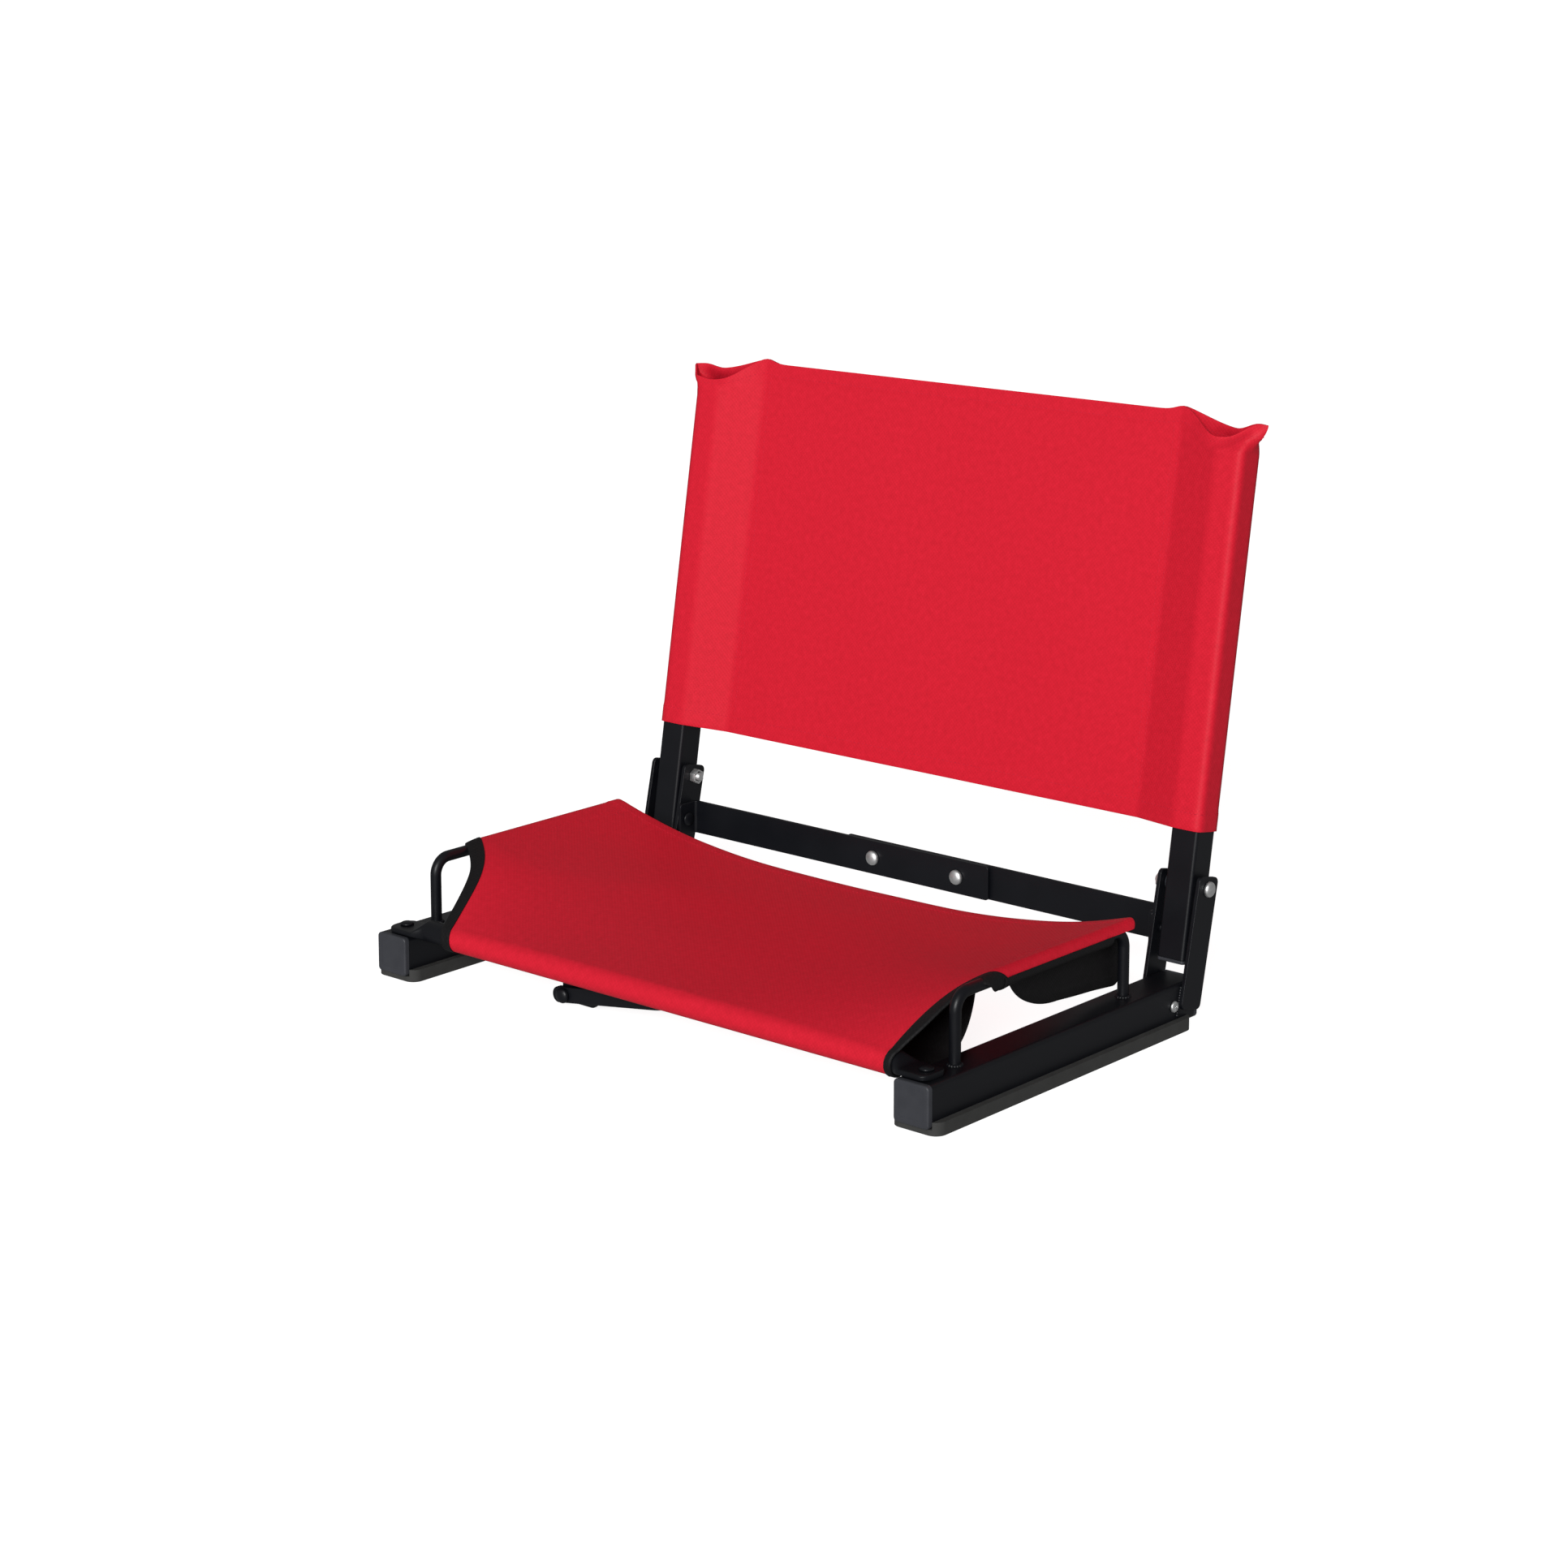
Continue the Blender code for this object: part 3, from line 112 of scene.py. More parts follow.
def clothFinish(name, shades):
    # woven polyester canvas: a broad soft gloss, a faint sheen at grazing angles and a square weave
    dip, ground, raised = (hexColor(shade) for shade in shades)
    finish, tree, shader = newFinish(name, {
        "Roughness": 0.58, "IOR": 1.45, "Specular IOR Level": 0.22,
        "Sheen Weight": 0.03, "Sheen Roughness": 0.45, "Sheen Tint": raised,
    })
    uv = addNode(tree, "ShaderNodeUVMap", {"uv_map": "weave"}).outputs["UV"]
    turns = addNode(tree, "ShaderNodeVectorMath",
                    {"operation": "SCALE", "Scale": pi / clothLook["thread"]}, {0: uv})
    waves = addNode(tree, "ShaderNodeVectorMath", {"operation": "SINE"}, {0: turns.outputs[0]})
    split = addNode(tree, "ShaderNodeSeparateXYZ", links={0: waves.outputs[0]})    # over and under, both ways
    over = addNode(tree, "ShaderNodeMath", {"operation": "MULTIPLY"},
                   {0: split.outputs[0], 1: split.outputs[1]}).outputs[0]
    middle = 0.5 - sum(share for size, detail, share in clothLook["uneven"]) / 2
    # the weave's height bumps the surface and also sets part of the colour: painted shade in its dips,
    # painted highlight on its raised threads
    tone = addNode(tree, "ShaderNodeMath",
                   {"operation": "MULTIPLY_ADD", 1: clothLook["weave"] / 2, 2: middle}, {0: over}).outputs[0]
    for size, detail, share in clothLook["uneven"]:
        spots = addNode(tree, "ShaderNodeTexNoise", {"Scale": 1 / size, "Detail": detail}, {"Vector": uv})
        tone = addNode(tree, "ShaderNodeMath", {"operation": "MULTIPLY_ADD", 1: share},
                       {0: spots.outputs["Fac"], 2: tone}).outputs[0]
    ramp = addNode(tree, "ShaderNodeValToRGB", links={"Fac": tone})
    ramp.color_ramp.elements[0].color = dip
    ramp.color_ramp.elements[1].color = raised
    ramp.color_ramp.elements.new(0.5).color = ground
    strength, depth = clothLook["bump"]
    bump = addNode(tree, "ShaderNodeBump", {"Strength": strength, "Distance": depth}, {"Height": over})
    tree.links.new(ramp.outputs["Color"], shader.inputs["Base Color"])
    tree.links.new(bump.outputs["Normal"], shader.inputs["Normal"])
    return finish


# tones: darkest and lightest; patches and grain: size and noise detail; gloss: least and most roughness
solidLooks = {
    # black powder coat over steel: satin, with a slight orange-peel ripple that softens its highlights
    "blackPowderCoat": {
        "shader": {"IOR": 1.5, "Specular IOR Level": 0.3}, "tones": ("07080c", "0e0f14"),
        "patches": (28 * mm, 5.0), "gloss": (0.34, 0.48), "grain": (1.6 * mm, 2.0), "bump": (0.25, 0.05 * mm),
    },
    # bright zinc plate: a clear metal shine, a little cloudy, with faint marks from forming
    "brightZincPlate": {
        "shader": {"Metallic": 1.0}, "tones": ("d6d7d8", "f2f2f1"), "patches": (2.2 * mm, 3.0),
        "gloss": (0.42, 0.58), "grain": (0.7 * mm, 1.0), "bump": (0.15, 0.05 * mm),
    },
    # moulded polyethylene: dull, with the mould's fine even grain and a speckle of dust
    "mouldedPolyethylene": {
        "shader": {"IOR": 1.49, "Specular IOR Level": 0.4}, "tones": ("2c2d32", "37383d"),
        "patches": (9 * mm, 6.0), "gloss": (0.42, 0.58), "grain": (0.9 * mm, 2.0), "bump": (0.4, 0.06 * mm),
    },
    # moulded rubber: duller still, with a coarser grain
    "runnerRubber": {
        "shader": {"IOR": 1.49, "Specular IOR Level": 0.4}, "tones": ("2c2c2b", "383837"),
        "patches": (9 * mm, 6.0), "gloss": (0.72, 0.90), "grain": (1.3 * mm, 2.0), "bump": (0.4, 0.10 * mm),
    },
    # bonded polyester sewing thread: dull, with the ply's twist as fine light and dark
    "redThread": {
        "shader": {"Roughness": 0.7, "IOR": 1.5, "Specular IOR Level": 0.2}, "tones": ("b3162a", "c92038"),
        "patches": (0.6 * mm, 1.0),
    },
    "blackThread": {
        "shader": {"Roughness": 0.7, "IOR": 1.5, "Specular IOR Level": 0.2}, "tones": ("0f0f10", "1a1a1b"),
        "patches": (0.6 * mm, 1.0),
    },
}


def solidFinish(name):
    look = solidLooks[name]
    finish, tree, shader = newFinish(name, look["shader"])
    spot = addNode(tree, "ShaderNodeTexCoord").outputs["Object"]
    size, detail = look["patches"]
    patches = addNode(tree, "ShaderNodeTexNoise", {"Scale": 1 / size, "Detail": detail}, {"Vector": spot})
    ramp = addNode(tree, "ShaderNodeValToRGB", links={"Fac": patches.outputs["Fac"]})
    for stop, tone in zip(ramp.color_ramp.elements, look["tones"]):
        stop.color = hexColor(tone)
    tree.links.new(ramp.outputs["Color"], shader.inputs["Base Color"])
    if "grain" in look:
        low, high = look["gloss"]
        gloss = addNode(tree, "ShaderNodeMapRange", {"To Min": low, "To Max": high},
                        {"Value": patches.outputs["Fac"]})
        size, detail = look["grain"]
        grain = addNode(tree, "ShaderNodeTexNoise", {"Scale": 1 / size, "Detail": detail}, {"Vector": spot})
        strength, depth = look["bump"]
        bump = addNode(tree, "ShaderNodeBump", {"Strength": strength, "Distance": depth},
                       {"Height": grain.outputs["Fac"]})
        tree.links.new(gloss.outputs[0], shader.inputs["Roughness"])
        tree.links.new(bump.outputs["Normal"], shader.inputs["Normal"])
    return finish


finishes = {
    "red_cloth": clothFinish("redPolyesterCanvas", clothLook["red"]),
    "black_cloth": clothFinish("blackPolyesterCanvas", clothLook["black"]),
    "black_steel": solidFinish("blackPowderCoat"),
    "zinc": solidFinish("brightZincPlate"),
    "grey_plastic": solidFinish("mouldedPolyethylene"),
    "grey_rubber": solidFinish("runnerRubber"),
}
threads = {"red_cloth": solidFinish("redThread"), "black_cloth": solidFinish("blackThread")}
print("materials made:", len(bpy.data.materials))


def toMesh(name, shape):
    mesh = bpy.data.meshes.new(name)
    shape.to_mesh(mesh)
    shape.free()
    return mesh


def addObject(name, data):
    thing = bpy.data.objects.new(name, data)
    bpy.context.scene.collection.objects.link(thing)
    return thing


def addPiece(name, shape, slotName, node=None, body="base", sharp=40, flatFaces=True, finish=None):
    mesh = toMesh(name, shape)
    mesh.shade_smooth()
    mesh.set_sharp_from_angle(angle=radians(sharp))
    mesh.materials.append(finish or finishes[slotName])
    piece = addObject(name, mesh)
    if flatFaces:    # large faces keep their own normals beside rounded edges
        weigh = piece.modifiers.new("flatFaces", "WEIGHTED_NORMAL")
        weigh.weight = 100
        weigh.keep_sharp = True
    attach(piece, body)
    if node:
        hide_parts(node)
    return piece


def settle(shape, matrix):
    bmesh.ops.transform(shape, matrix=matrix, space=Matrix(), verts=shape.verts[:])


def slide(shape, step):
    bmesh.ops.translate(shape, vec=step, verts=shape.verts[:])


def vertsIn(geom):
    return [g for g in geom if isinstance(g, bmesh.types.BMVert)]


def edgesIn(geom):
    return [g for g in geom if isinstance(g, bmesh.types.BMEdge)]


def outward(shape):
    bmesh.ops.remove_doubles(shape, verts=shape.verts[:], dist=0.002 * mm)
    bmesh.ops.recalc_face_normals(shape, faces=shape.faces[:])
    shape.normal_update()
    if shape.calc_volume(signed=True) < 0:
        bmesh.ops.reverse_faces(shape, faces=shape.faces[:])


def pointing(place, direction):    # local z along direction
    turn = Vector(direction).normalized().to_track_quat("Z", "Y")
    return Matrix.Translation(place) @ turn.to_matrix().to_4x4()


def roundEdges(shape, edges, width, segments):
    bmesh.ops.bevel(shape, geom=edges, offset=width, offset_type="OFFSET", affect="EDGES", segments=segments,
                    profile=0.5, material=-1, clamp_overlap=True)


def softenEdges(shape, width, segments=3, over=50):
    sharpEdges = [e for e in shape.edges if e.is_manifold and e.calc_face_angle(0) > radians(over)]
    roundEdges(shape, sharpEdges, width, segments)


def edgesAlong(shape, axis, other=None, at=0.0):    # straight edges along an axis, all or those at a place
    found = [e for e in shape.edges if abs((e.verts[0].co - e.verts[1].co).normalized()[axis]) > 0.99]
    return [e for e in found if other is None or abs(e.verts[0].co[other] - at) < 0.1 * mm]


def block(size, corner=0.0, axis=2, segments=6):    # box whose four edges along one axis are rounded
    shape = bmesh.new()
    bmesh.ops.create_cube(shape, size=1.0)
    bmesh.ops.scale(shape, vec=size, verts=shape.verts[:])
    if corner:
        roundEdges(shape, edgesAlong(shape, axis), corner, segments)
    return shape


def boreThrough(shape, caps, wall, even):    # joins two end faces by a hole that leaves a wall
    for cap in caps:
        bmesh.ops.inset_region(shape, faces=[cap], thickness=wall, use_even_offset=even)
    rims = [e for cap in caps for e in cap.edges]
    bmesh.ops.delete(shape, geom=caps, context="FACES_ONLY")
    bmesh.ops.bridge_loops(shape, edges=rims)
    outward(shape)


def squareTube(tube, low, high):    # open tube along z
    shape = block((tube["size"], tube["size"], high - low), tube["corner"])
    slide(shape, (0, 0, (low + high) / 2))
    boreThrough(shape, [f for f in shape.faces if abs(f.normal.z) > 0.9], tube["wall"], True)
    softenEdges(shape, 0.35 * mm, 2, 60)
    return shape


def turned(profile, steps=32):    # (radius, height) pairs turned round z
    shape = bmesh.new()
    verts = [shape.verts.new((radius, 0, height)) for radius, height in profile]
    edges = [shape.edges.new(pair) for pair in zip(verts, verts[1:])]
    bmesh.ops.spin(shape, geom=verts + edges, cent=(0, 0, 0), axis=(0, 0, 1), dvec=(0, 0, 0),
                   angle=2 * pi, steps=steps, use_merge=True, use_duplicate=False)
    outward(shape)
    return shape


def swept(shape, moves):    # carries a ring of edges by steps, and round bends: centre, axis, angle, steps
    ring = shape.edges[:]
    for move in moves:
        if len(move) == 3:
            made = bmesh.ops.extrude_edge_only(shape, edges=ring)["geom"]
            ends = set(vertsIn(made))
            bmesh.ops.translate(shape, verts=list(ends), vec=move)
            ring = [e for e in edgesIn(made) if ends.issuperset(e.verts)]
        else:
            centre, axis, angle, steps = move
            verts = list({v for e in ring for v in e.verts})
            ring = edgesIn(bmesh.ops.spin(
                shape, geom=verts + ring, cent=centre, axis=axis, dvec=(0, 0, 0), angle=angle, steps=steps,
                use_merge=False, use_duplicate=False)["geom_last"])
    bmesh.ops.holes_fill(shape, edges=[e for e in shape.edges if e.is_boundary], sides=0)
    outward(shape)


def roundBar(radius, segments, start, moves):
    shape = bmesh.new()
    bmesh.ops.create_circle(shape, cap_ends=False, segments=segments, radius=radius, matrix=start)
    swept(shape, moves)
    return shape


def flatBar(width, height, start, moves):    # width along local x, height along local y
    shape = bmesh.new()
    section = Matrix.Diagonal((width, height, 1, 1))
    bmesh.ops.create_grid(shape, x_segments=1, y_segments=1, size=0.5, matrix=start @ section)
    bmesh.ops.delete(shape, geom=shape.faces[:], context="FACES_ONLY")
    swept(shape, moves)
    return shape


def addBead(shape, place, normal, radius):    # one bump of a weld, flattened along the surface's normal
    squash = pointing(place, normal) @ Matrix.Diagonal((radius, radius, 0.75 * radius, 1))
    bmesh.ops.create_uvsphere(shape, u_segments=10, v_segments=6, radius=1.0, matrix=squash)


def addWelds(name, shape):
    outward(shape)
    addPiece(name, shape, "black_steel", sharp=60, flatFaces=False)


def carved(shape, cutters):    # takes the cutters' shapes away
    blocks = [addObject("carving", toMesh("carving", part)) for part in (shape, *cutters)]
    for cutter in blocks[1:]:
        cut = blocks[0].modifiers.new("cut", "BOOLEAN")
        cut.object = cutter
        cut.solver = "EXACT"
    result = bmesh.new()
    result.from_object(blocks[0], bpy.context.evaluated_depsgraph_get())
    for thing in blocks:
        bpy.data.meshes.remove(thing.data)
    return result


backward = Matrix.Rotation(-quarter, 4, "X")    # local z to +Y
forward = Matrix.Rotation(quarter, 4, "X")      # local z to -Y
sideways = Matrix(((0, 0, 1, 0), (1, 0, 0, 0), (0, 1, 0, 0), (0, 0, 0, 1)))    # local z to +X, x to +Y
plateEdge = 0.5 * mm    # broken edges of cut steel

rail = {
    "x": 239.7 * mm, "size": 28.6 * mm, "wall": 1.6 * mm, "corner": 3.0 * mm,
    "bottom": 4.3 * mm, "start": 4.3 * mm, "length": 291 * mm,
}
rail["top"] = rail["bottom"] + rail["size"]
rail["middle"] = rail["bottom"] + rail["size"] / 2
rail["end"] = rail["start"] + rail["length"]
plug = {
    "flange": 4.0 * mm, "edge": 1.3 * mm, "edgeMost": 0.45, "dish": 0.35 * mm, "border": 0.78, "slope": 0.96,
    "frontStub": 7 * mm, "rearStub": 34 * mm,
}
runner = {
    "base": 4.0 * mm, "lip": 5.0 * mm, "lipHeight": 5.0 * mm, "round": 8.0 * mm, "start": 3.0 * mm,
    "rear": 8.0 * mm, "edge": 0.5 * mm, "grooves": 5, "groove": 1.6 * mm, "grooveLength": 0.9, "spread": 0.76,
}


def endPlug(tube, flange, stub, dished):    # flange under z 0, stub above it, ready to slide into a tube
    shape = block((tube["size"], tube["size"], flange), tube["corner"])
    slide(shape, (0, 0, -gap - flange / 2))
    outer = next(f for f in shape.faces if f.normal.z < -0.9)
    inner = next(f for f in shape.faces if f.normal.z > 0.9)
    roundEdges(shape, outer.edges[:], min(plug["edge"], plug["edgeMost"] * flange), 4)
    bmesh.ops.inset_region(shape, faces=[inner], thickness=tube["wall"] + gap, use_even_offset=True)
    raised = bmesh.ops.extrude_face_region(shape, geom=[inner])["geom"]
    bmesh.ops.delete(shape, geom=[inner], context="FACES_ONLY")
    bmesh.ops.translate(shape, vec=(0, 0, stub), verts=vertsIn(raised))
    if dished:    # a sunk middle inside a raised border, as moulded caps have
        face = min(shape.faces, key=lambda f: f.calc_center_median().z)
        for scale, sink in ((plug["border"], 0.0), (plug["slope"], plug["dish"])):
            bmesh.ops.inset_region(shape, faces=[face], thickness=0.01 * mm, use_even_offset=True)
            bmesh.ops.scale(shape, vec=(scale, scale, 1), verts=face.verts[:])
            bmesh.ops.translate(shape, vec=(0, 0, sink), verts=face.verts[:])
    outward(shape)
    return shape


def runnerShape(length):    # strip with a channel for the rail and grip grooves along the sole
    height = runner["base"] + runner["lipHeight"]
    inside = rail["size"] + 2 * gap
    wide = inside + 2 * runner["lip"]
    shape = block((wide, length, height), runner["round"], 2, 8)
    slide(shape, (0, 0, height / 2))
    channel = block((inside, 2 * length, height))
    slide(channel, (0, 0, runner["base"] + height / 2))
    cutters = [channel]
    for i in range(runner["grooves"]):
        groove = block((runner["groove"], runner["grooveLength"] * length, runner["groove"]))
        slide(groove, (runner["spread"] * wide * (i / (runner["grooves"] - 1) - 0.5), 0, 0))
        cutters.append(groove)
    shape = carved(shape, cutters)
    softenEdges(shape, runner["edge"], 2)
    return shape


for side, low, sign in sides:
    shape = squareTube(rail, 0, rail["length"])
    settle(shape, Matrix.Translation((sign * rail["x"], setback(rail["start"]), rail["middle"])) @ backward)
    addPiece(f"railTube{side}", shape, "black_steel", f"rail_{low}")
for side, low, sign in sides:
    for name, node, y, turn, stub in (("frontCap", "front_cap", rail["start"], backward, plug["frontStub"]),
                                      ("rearPlug", "rear_plug", rail["end"], forward, plug["rearStub"])):
        shape = endPlug(rail, plug["flange"], stub, True)
        settle(shape, Matrix.Translation((sign * rail["x"], setback(y), rail["middle"])) @ turn)
        addPiece(name + side, shape, "grey_plastic", f"{node}_{low}")
for side, low, sign in sides:
    length = rail["end"] - runner["rear"] - runner["start"]
    shape = runnerShape(length)
    slide(shape, (sign * rail["x"], setback(runner["start"]) + length / 2, 0))
    addPiece(f"rubberRunner{side}", shape, "grey_rubber", f"runner_{low}")
print("rails, caps and runners made")

rod = {
    "radius": 4.0 * mm, "height": 79.8 * mm, "start": 45 * mm, "length": 185 * mm, "bend": 12 * mm,
    "steps": 12, "segments": 24, "weld": 1.5 * mm, "weldOut": 0.525 * mm, "beads": 14,
}
for side, low, sign in sides:
    x = sign * rail["x"]
    foot = rail["top"] + gap
    first = setback(rod["start"])
    last = first + rod["length"]
    bend = rod["bend"]
    bendZ = rod["height"] - bend
    shape = roundBar(rod["radius"], rod["segments"], Matrix.Translation((x, first, foot)), [
        (0, 0, bendZ - foot), ((x, first + bend, bendZ), (1, 0, 0), -quarter, rod["steps"]),
        (0, last - first - 2 * bend, 0), ((x, last - bend, bendZ), (1, 0, 0), -quarter, rod["steps"]),
        (0, 0, foot - bendZ)])
    addPiece(f"sideRod{side}", shape, "black_steel", f"rod_loop_{low}", sharp=60)
    welds = bmesh.new()
    for y in (first, last):    # fillet welds round the rod's feet
        for i in range(rod["beads"]):
            turn = 2 * pi * i / rod["beads"]
            away = Vector((cos(turn), sin(turn), 0))
            spot = Vector((x, y, foot)) + away * (rod["radius"] + rod["weldOut"])
            addBead(welds, spot, away + up, rod["weld"])
    addWelds(f"rodWelds{side}", welds)

bar = {
    "radius": 8 * mm, "y": 16 * mm, "lift": 2 * mm, "tabWidth": 24 * mm, "tabThick": 4 * mm,
    "tabLength": 22 * mm, "tabPast": 8 * mm, "taper": 11 * mm, "taperSteps": 10, "tabRound": 6 * mm,
    "roundSteps": 6, "squareness": 0.68, "segments": 40,
}
bar["end"] = rail["x"] + bar["tabPast"]
bar["taperStart"] = bar["end"] - bar["tabLength"] - bar["taper"]
bar["tabZ"] = rail["top"] + gap + bar["tabThick"] / 2
bar["z"] = bar["tabZ"] + bar["lift"]


def pressBar(shape):    # flattens the tube's ends into tabs with round corners
    for vert in shape.verts:
        x = abs(vert.co.x)
        flat = smoothStep((x - bar["taperStart"]) / bar["taper"])
        turn = atan2(vert.co.z, vert.co.y)
        past = max(x - (bar["end"] - bar["tabRound"]), 0.0) / bar["tabRound"]
        halfWidth = mix(bar["radius"], bar["tabWidth"] / 2, flat)
        halfWidth -= bar["tabRound"] * (1 - sqrt(max(1 - past * past, 0.0)))
        halfHeight = mix(bar["radius"], bar["tabThick"] / 2, flat)
        power = 1.0 - bar["squareness"] * flat
        y = copysign(abs(cos(turn)) ** power, cos(turn)) * halfWidth
        z = copysign(abs(sin(turn)) ** power, sin(turn)) * halfHeight
        vert.co = (vert.co.x, setback(bar["y"]) + y, bar["z"] - bar["lift"] * flat + z)


stations = span(bar["taperStart"], bar["taperStart"] + bar["taper"], bar["taperSteps"])
stations += [rail["x"] - bar["tabLength"] / 4, rail["x"]]
for t in span(0, quarter, bar["roundSteps"]):
    stations.append(bar["end"] - bar["tabRound"] * (1 - sin(t)))
stations = [-x for x in reversed(stations)] + stations
shape = roundBar(bar["radius"], bar["segments"],
                 Matrix.Translation((-bar["end"], 0, 0)) @ Matrix.Rotation(quarter, 4, "Y"),
                 [(there - here, 0, 0) for here, there in zip(stations, stations[1:])])
pressBar(shape)
outward(shape)
softenEdges(shape, plateEdge, 2, 60)
addPiece("frontBarTube", shape, "black_steel", "front_bar", sharp=50)
print("rods and front bar made")

bolt = {
    "radius": 3.0 * mm, "head": 5.5 * mm, "headHeight": 4.0 * mm, "thread": 1.0 * mm,
    "threadDepth": 0.35 * mm, "point": 0.2 * mm, "pointHeight": 0.4 * mm, "end": 2.0 * mm,
}
nut = {
    "across": 10.0 * mm, "height": 5.0 * mm, "chamfer": 30, "face": 0.98, "bore": 3.9 * mm, "edge": 0.25 * mm,
}
rivet = {
    "radius": 2.5 * mm, "head": 5.0 * mm, "headHeight": 2.4 * mm, "tail": 3.75 * mm, "tailHeight": 1.6 * mm,
    "tailEdge": 0.4 * mm,
}
screw = {
    "radius": 2 * mm, "head": 4 * mm, "headHeight": 2.4 * mm, "length": 12 * mm, "slot": 0.55 * mm,
    "slotReach": 2.2 * mm, "slotDepth": 1.3 * mm, "ahead": 5.8 * mm,
}


def domeProfile(radius, height, points=9):    # from the rim up to the axis
    edge = 0.25 * mm
    rim = 0.3 * height
    dome = [(radius * cos(a), mix(rim, height, sin(a))) for a in span(0, quarter, points)]
    return [(radius - edge, 0.0), (radius, edge)] + dome


def boltShape(shank, threaded):    # head above z 0, shank under it, threads at its end
    radius = bolt["radius"]
    valley = radius - bolt["threadDepth"]
    outline = [(0.0, -shank), (valley - bolt["point"], -shank)]
    for i in range(int(threaded / bolt["thread"])):
        z = -shank + bolt["pointHeight"] + i * bolt["thread"]
        outline += [(valley, z), (radius, z + bolt["thread"] / 2)]
    outline += [(radius, -shank + threaded + bolt["thread"]), (radius, 0.0)]
    return turned(outline + domeProfile(bolt["head"], bolt["headHeight"]))


def rivetShape(grip):
    tail, edge, end = rivet["tail"], rivet["tailEdge"], -grip - rivet["tailHeight"]
    outline = [(0.0, end), (tail - edge, end), (tail, end + edge), (tail, -grip), (rivet["radius"], -grip),
               (rivet["radius"], 0.0)]
    return turned(outline + domeProfile(rivet["head"], rivet["headHeight"]))


def screwShape():    # with a cross recess
    outline = [(0.0, -screw["length"]), (screw["radius"], -screw["length"]), (screw["radius"], 0.0)]
    shape = turned(outline + domeProfile(screw["head"], screw["headHeight"]))
    slots = []
    for turn in (0.0, quarter):
        slots.append(block((2 * screw["slotReach"], 2 * screw["slot"], 2 * screw["slotDepth"])))
        settle(slots[-1], Matrix.Translation((0, 0, screw["headHeight"])) @ Matrix.Rotation(turn, 4, "Z"))
    return carved(shape, slots)


def nutShape():    # hexagon nut whose corners are cut back by the usual cone
    shape = bmesh.new()
    half = nut["across"] / 2
    corner = half / cos(pi / 6)
    bmesh.ops.create_cone(shape, cap_ends=True, segments=6, radius1=corner, radius2=corner,
                          depth=nut["height"], matrix=Matrix.Translation((0, 0, nut["height"] / 2)))
    slope = radians(nut["chamfer"])
    for i in range(6):
        turn = pi / 3 * i
        away = Vector((cos(turn), sin(turn), 0))
        for face, z in ((1, nut["height"]), (-1, 0.0)):
            made = bmesh.ops.bisect_plane(
                shape, geom=shape.verts[:] + shape.edges[:] + shape.faces[:], dist=0.0001 * mm,
                clear_outer=True, plane_co=away * half * nut["face"] + up * z,
                plane_no=away * sin(slope) + up * face * cos(slope))["geom_cut"]
            bmesh.ops.edgeloop_fill(shape, edges=edgesIn(made))
    boreThrough(shape, [f for f in shape.faces if abs(f.normal.z) > 0.99], half - nut["bore"], False)
    softenEdges(shape, nut["edge"], 2, 25)
    return shape


def addFastener(name, shape, place, direction, node, slotName="zinc"):
    settle(shape, pointing(place, direction))
    addPiece(name, shape, slotName, node, sharp=50, flatFaces=False)


for side, low, sign in sides:
    place = (sign * rail["x"], setback(bar["y"]), bar["tabZ"] + bar["tabThick"] / 2 + gap)
    addFastener(f"tabRivet{side}", rivetShape(bar["tabThick"] + rail["wall"] + 3 * gap), place, up,
                f"front_bar_rivet_{low}", "black_steel")

hinge = {
    "pivotY": 304.5 * mm, "pivotZ": 95 * mm, "width": 23 * mm, "thick": 3 * mm, "above": 8.5 * mm,
    "below": 83.95 * mm, "corner": 4 * mm, "lean": radians(12.5), "bush": 6.5 * mm, "bushEdge": 0.4 * mm,
    "threaded": 9 * mm, "weld": 1.3 * mm, "weldStep": 1.7 * mm, "weldLow": 7 * mm, "weldOut": 0.5 * mm,
    "beads": 12,
}
hinge["offset"] = rail["size"] / 2 + gap
upright = {
    "size": 22.2 * mm, "wall": 1.6 * mm, "corner": 2.5 * mm, "above": 294 * mm, "below": 51 * mm,
    "lean": radians(9.5), "plug": 2.5 * mm, "stub": 14 * mm,
}


def plateFront(z):    # y of a hinge plate's front edge at a height, from the pivot
    return -hinge["width"] / 2 / cos(hinge["lean"]) + (z - hinge["pivotZ"]) * tan(hinge["lean"])


def bushShape():
    hole, outer, edge = bolt["radius"] + gap, hinge["bush"], hinge["bushEdge"]
    low, high = upright["size"] / 2 + gap, hinge["offset"] - gap
    return turned([(hole, low), (outer - edge, low), (outer, low + edge), (outer, high - edge),
                   (outer - edge, high), (hole, high), (hole, low)])


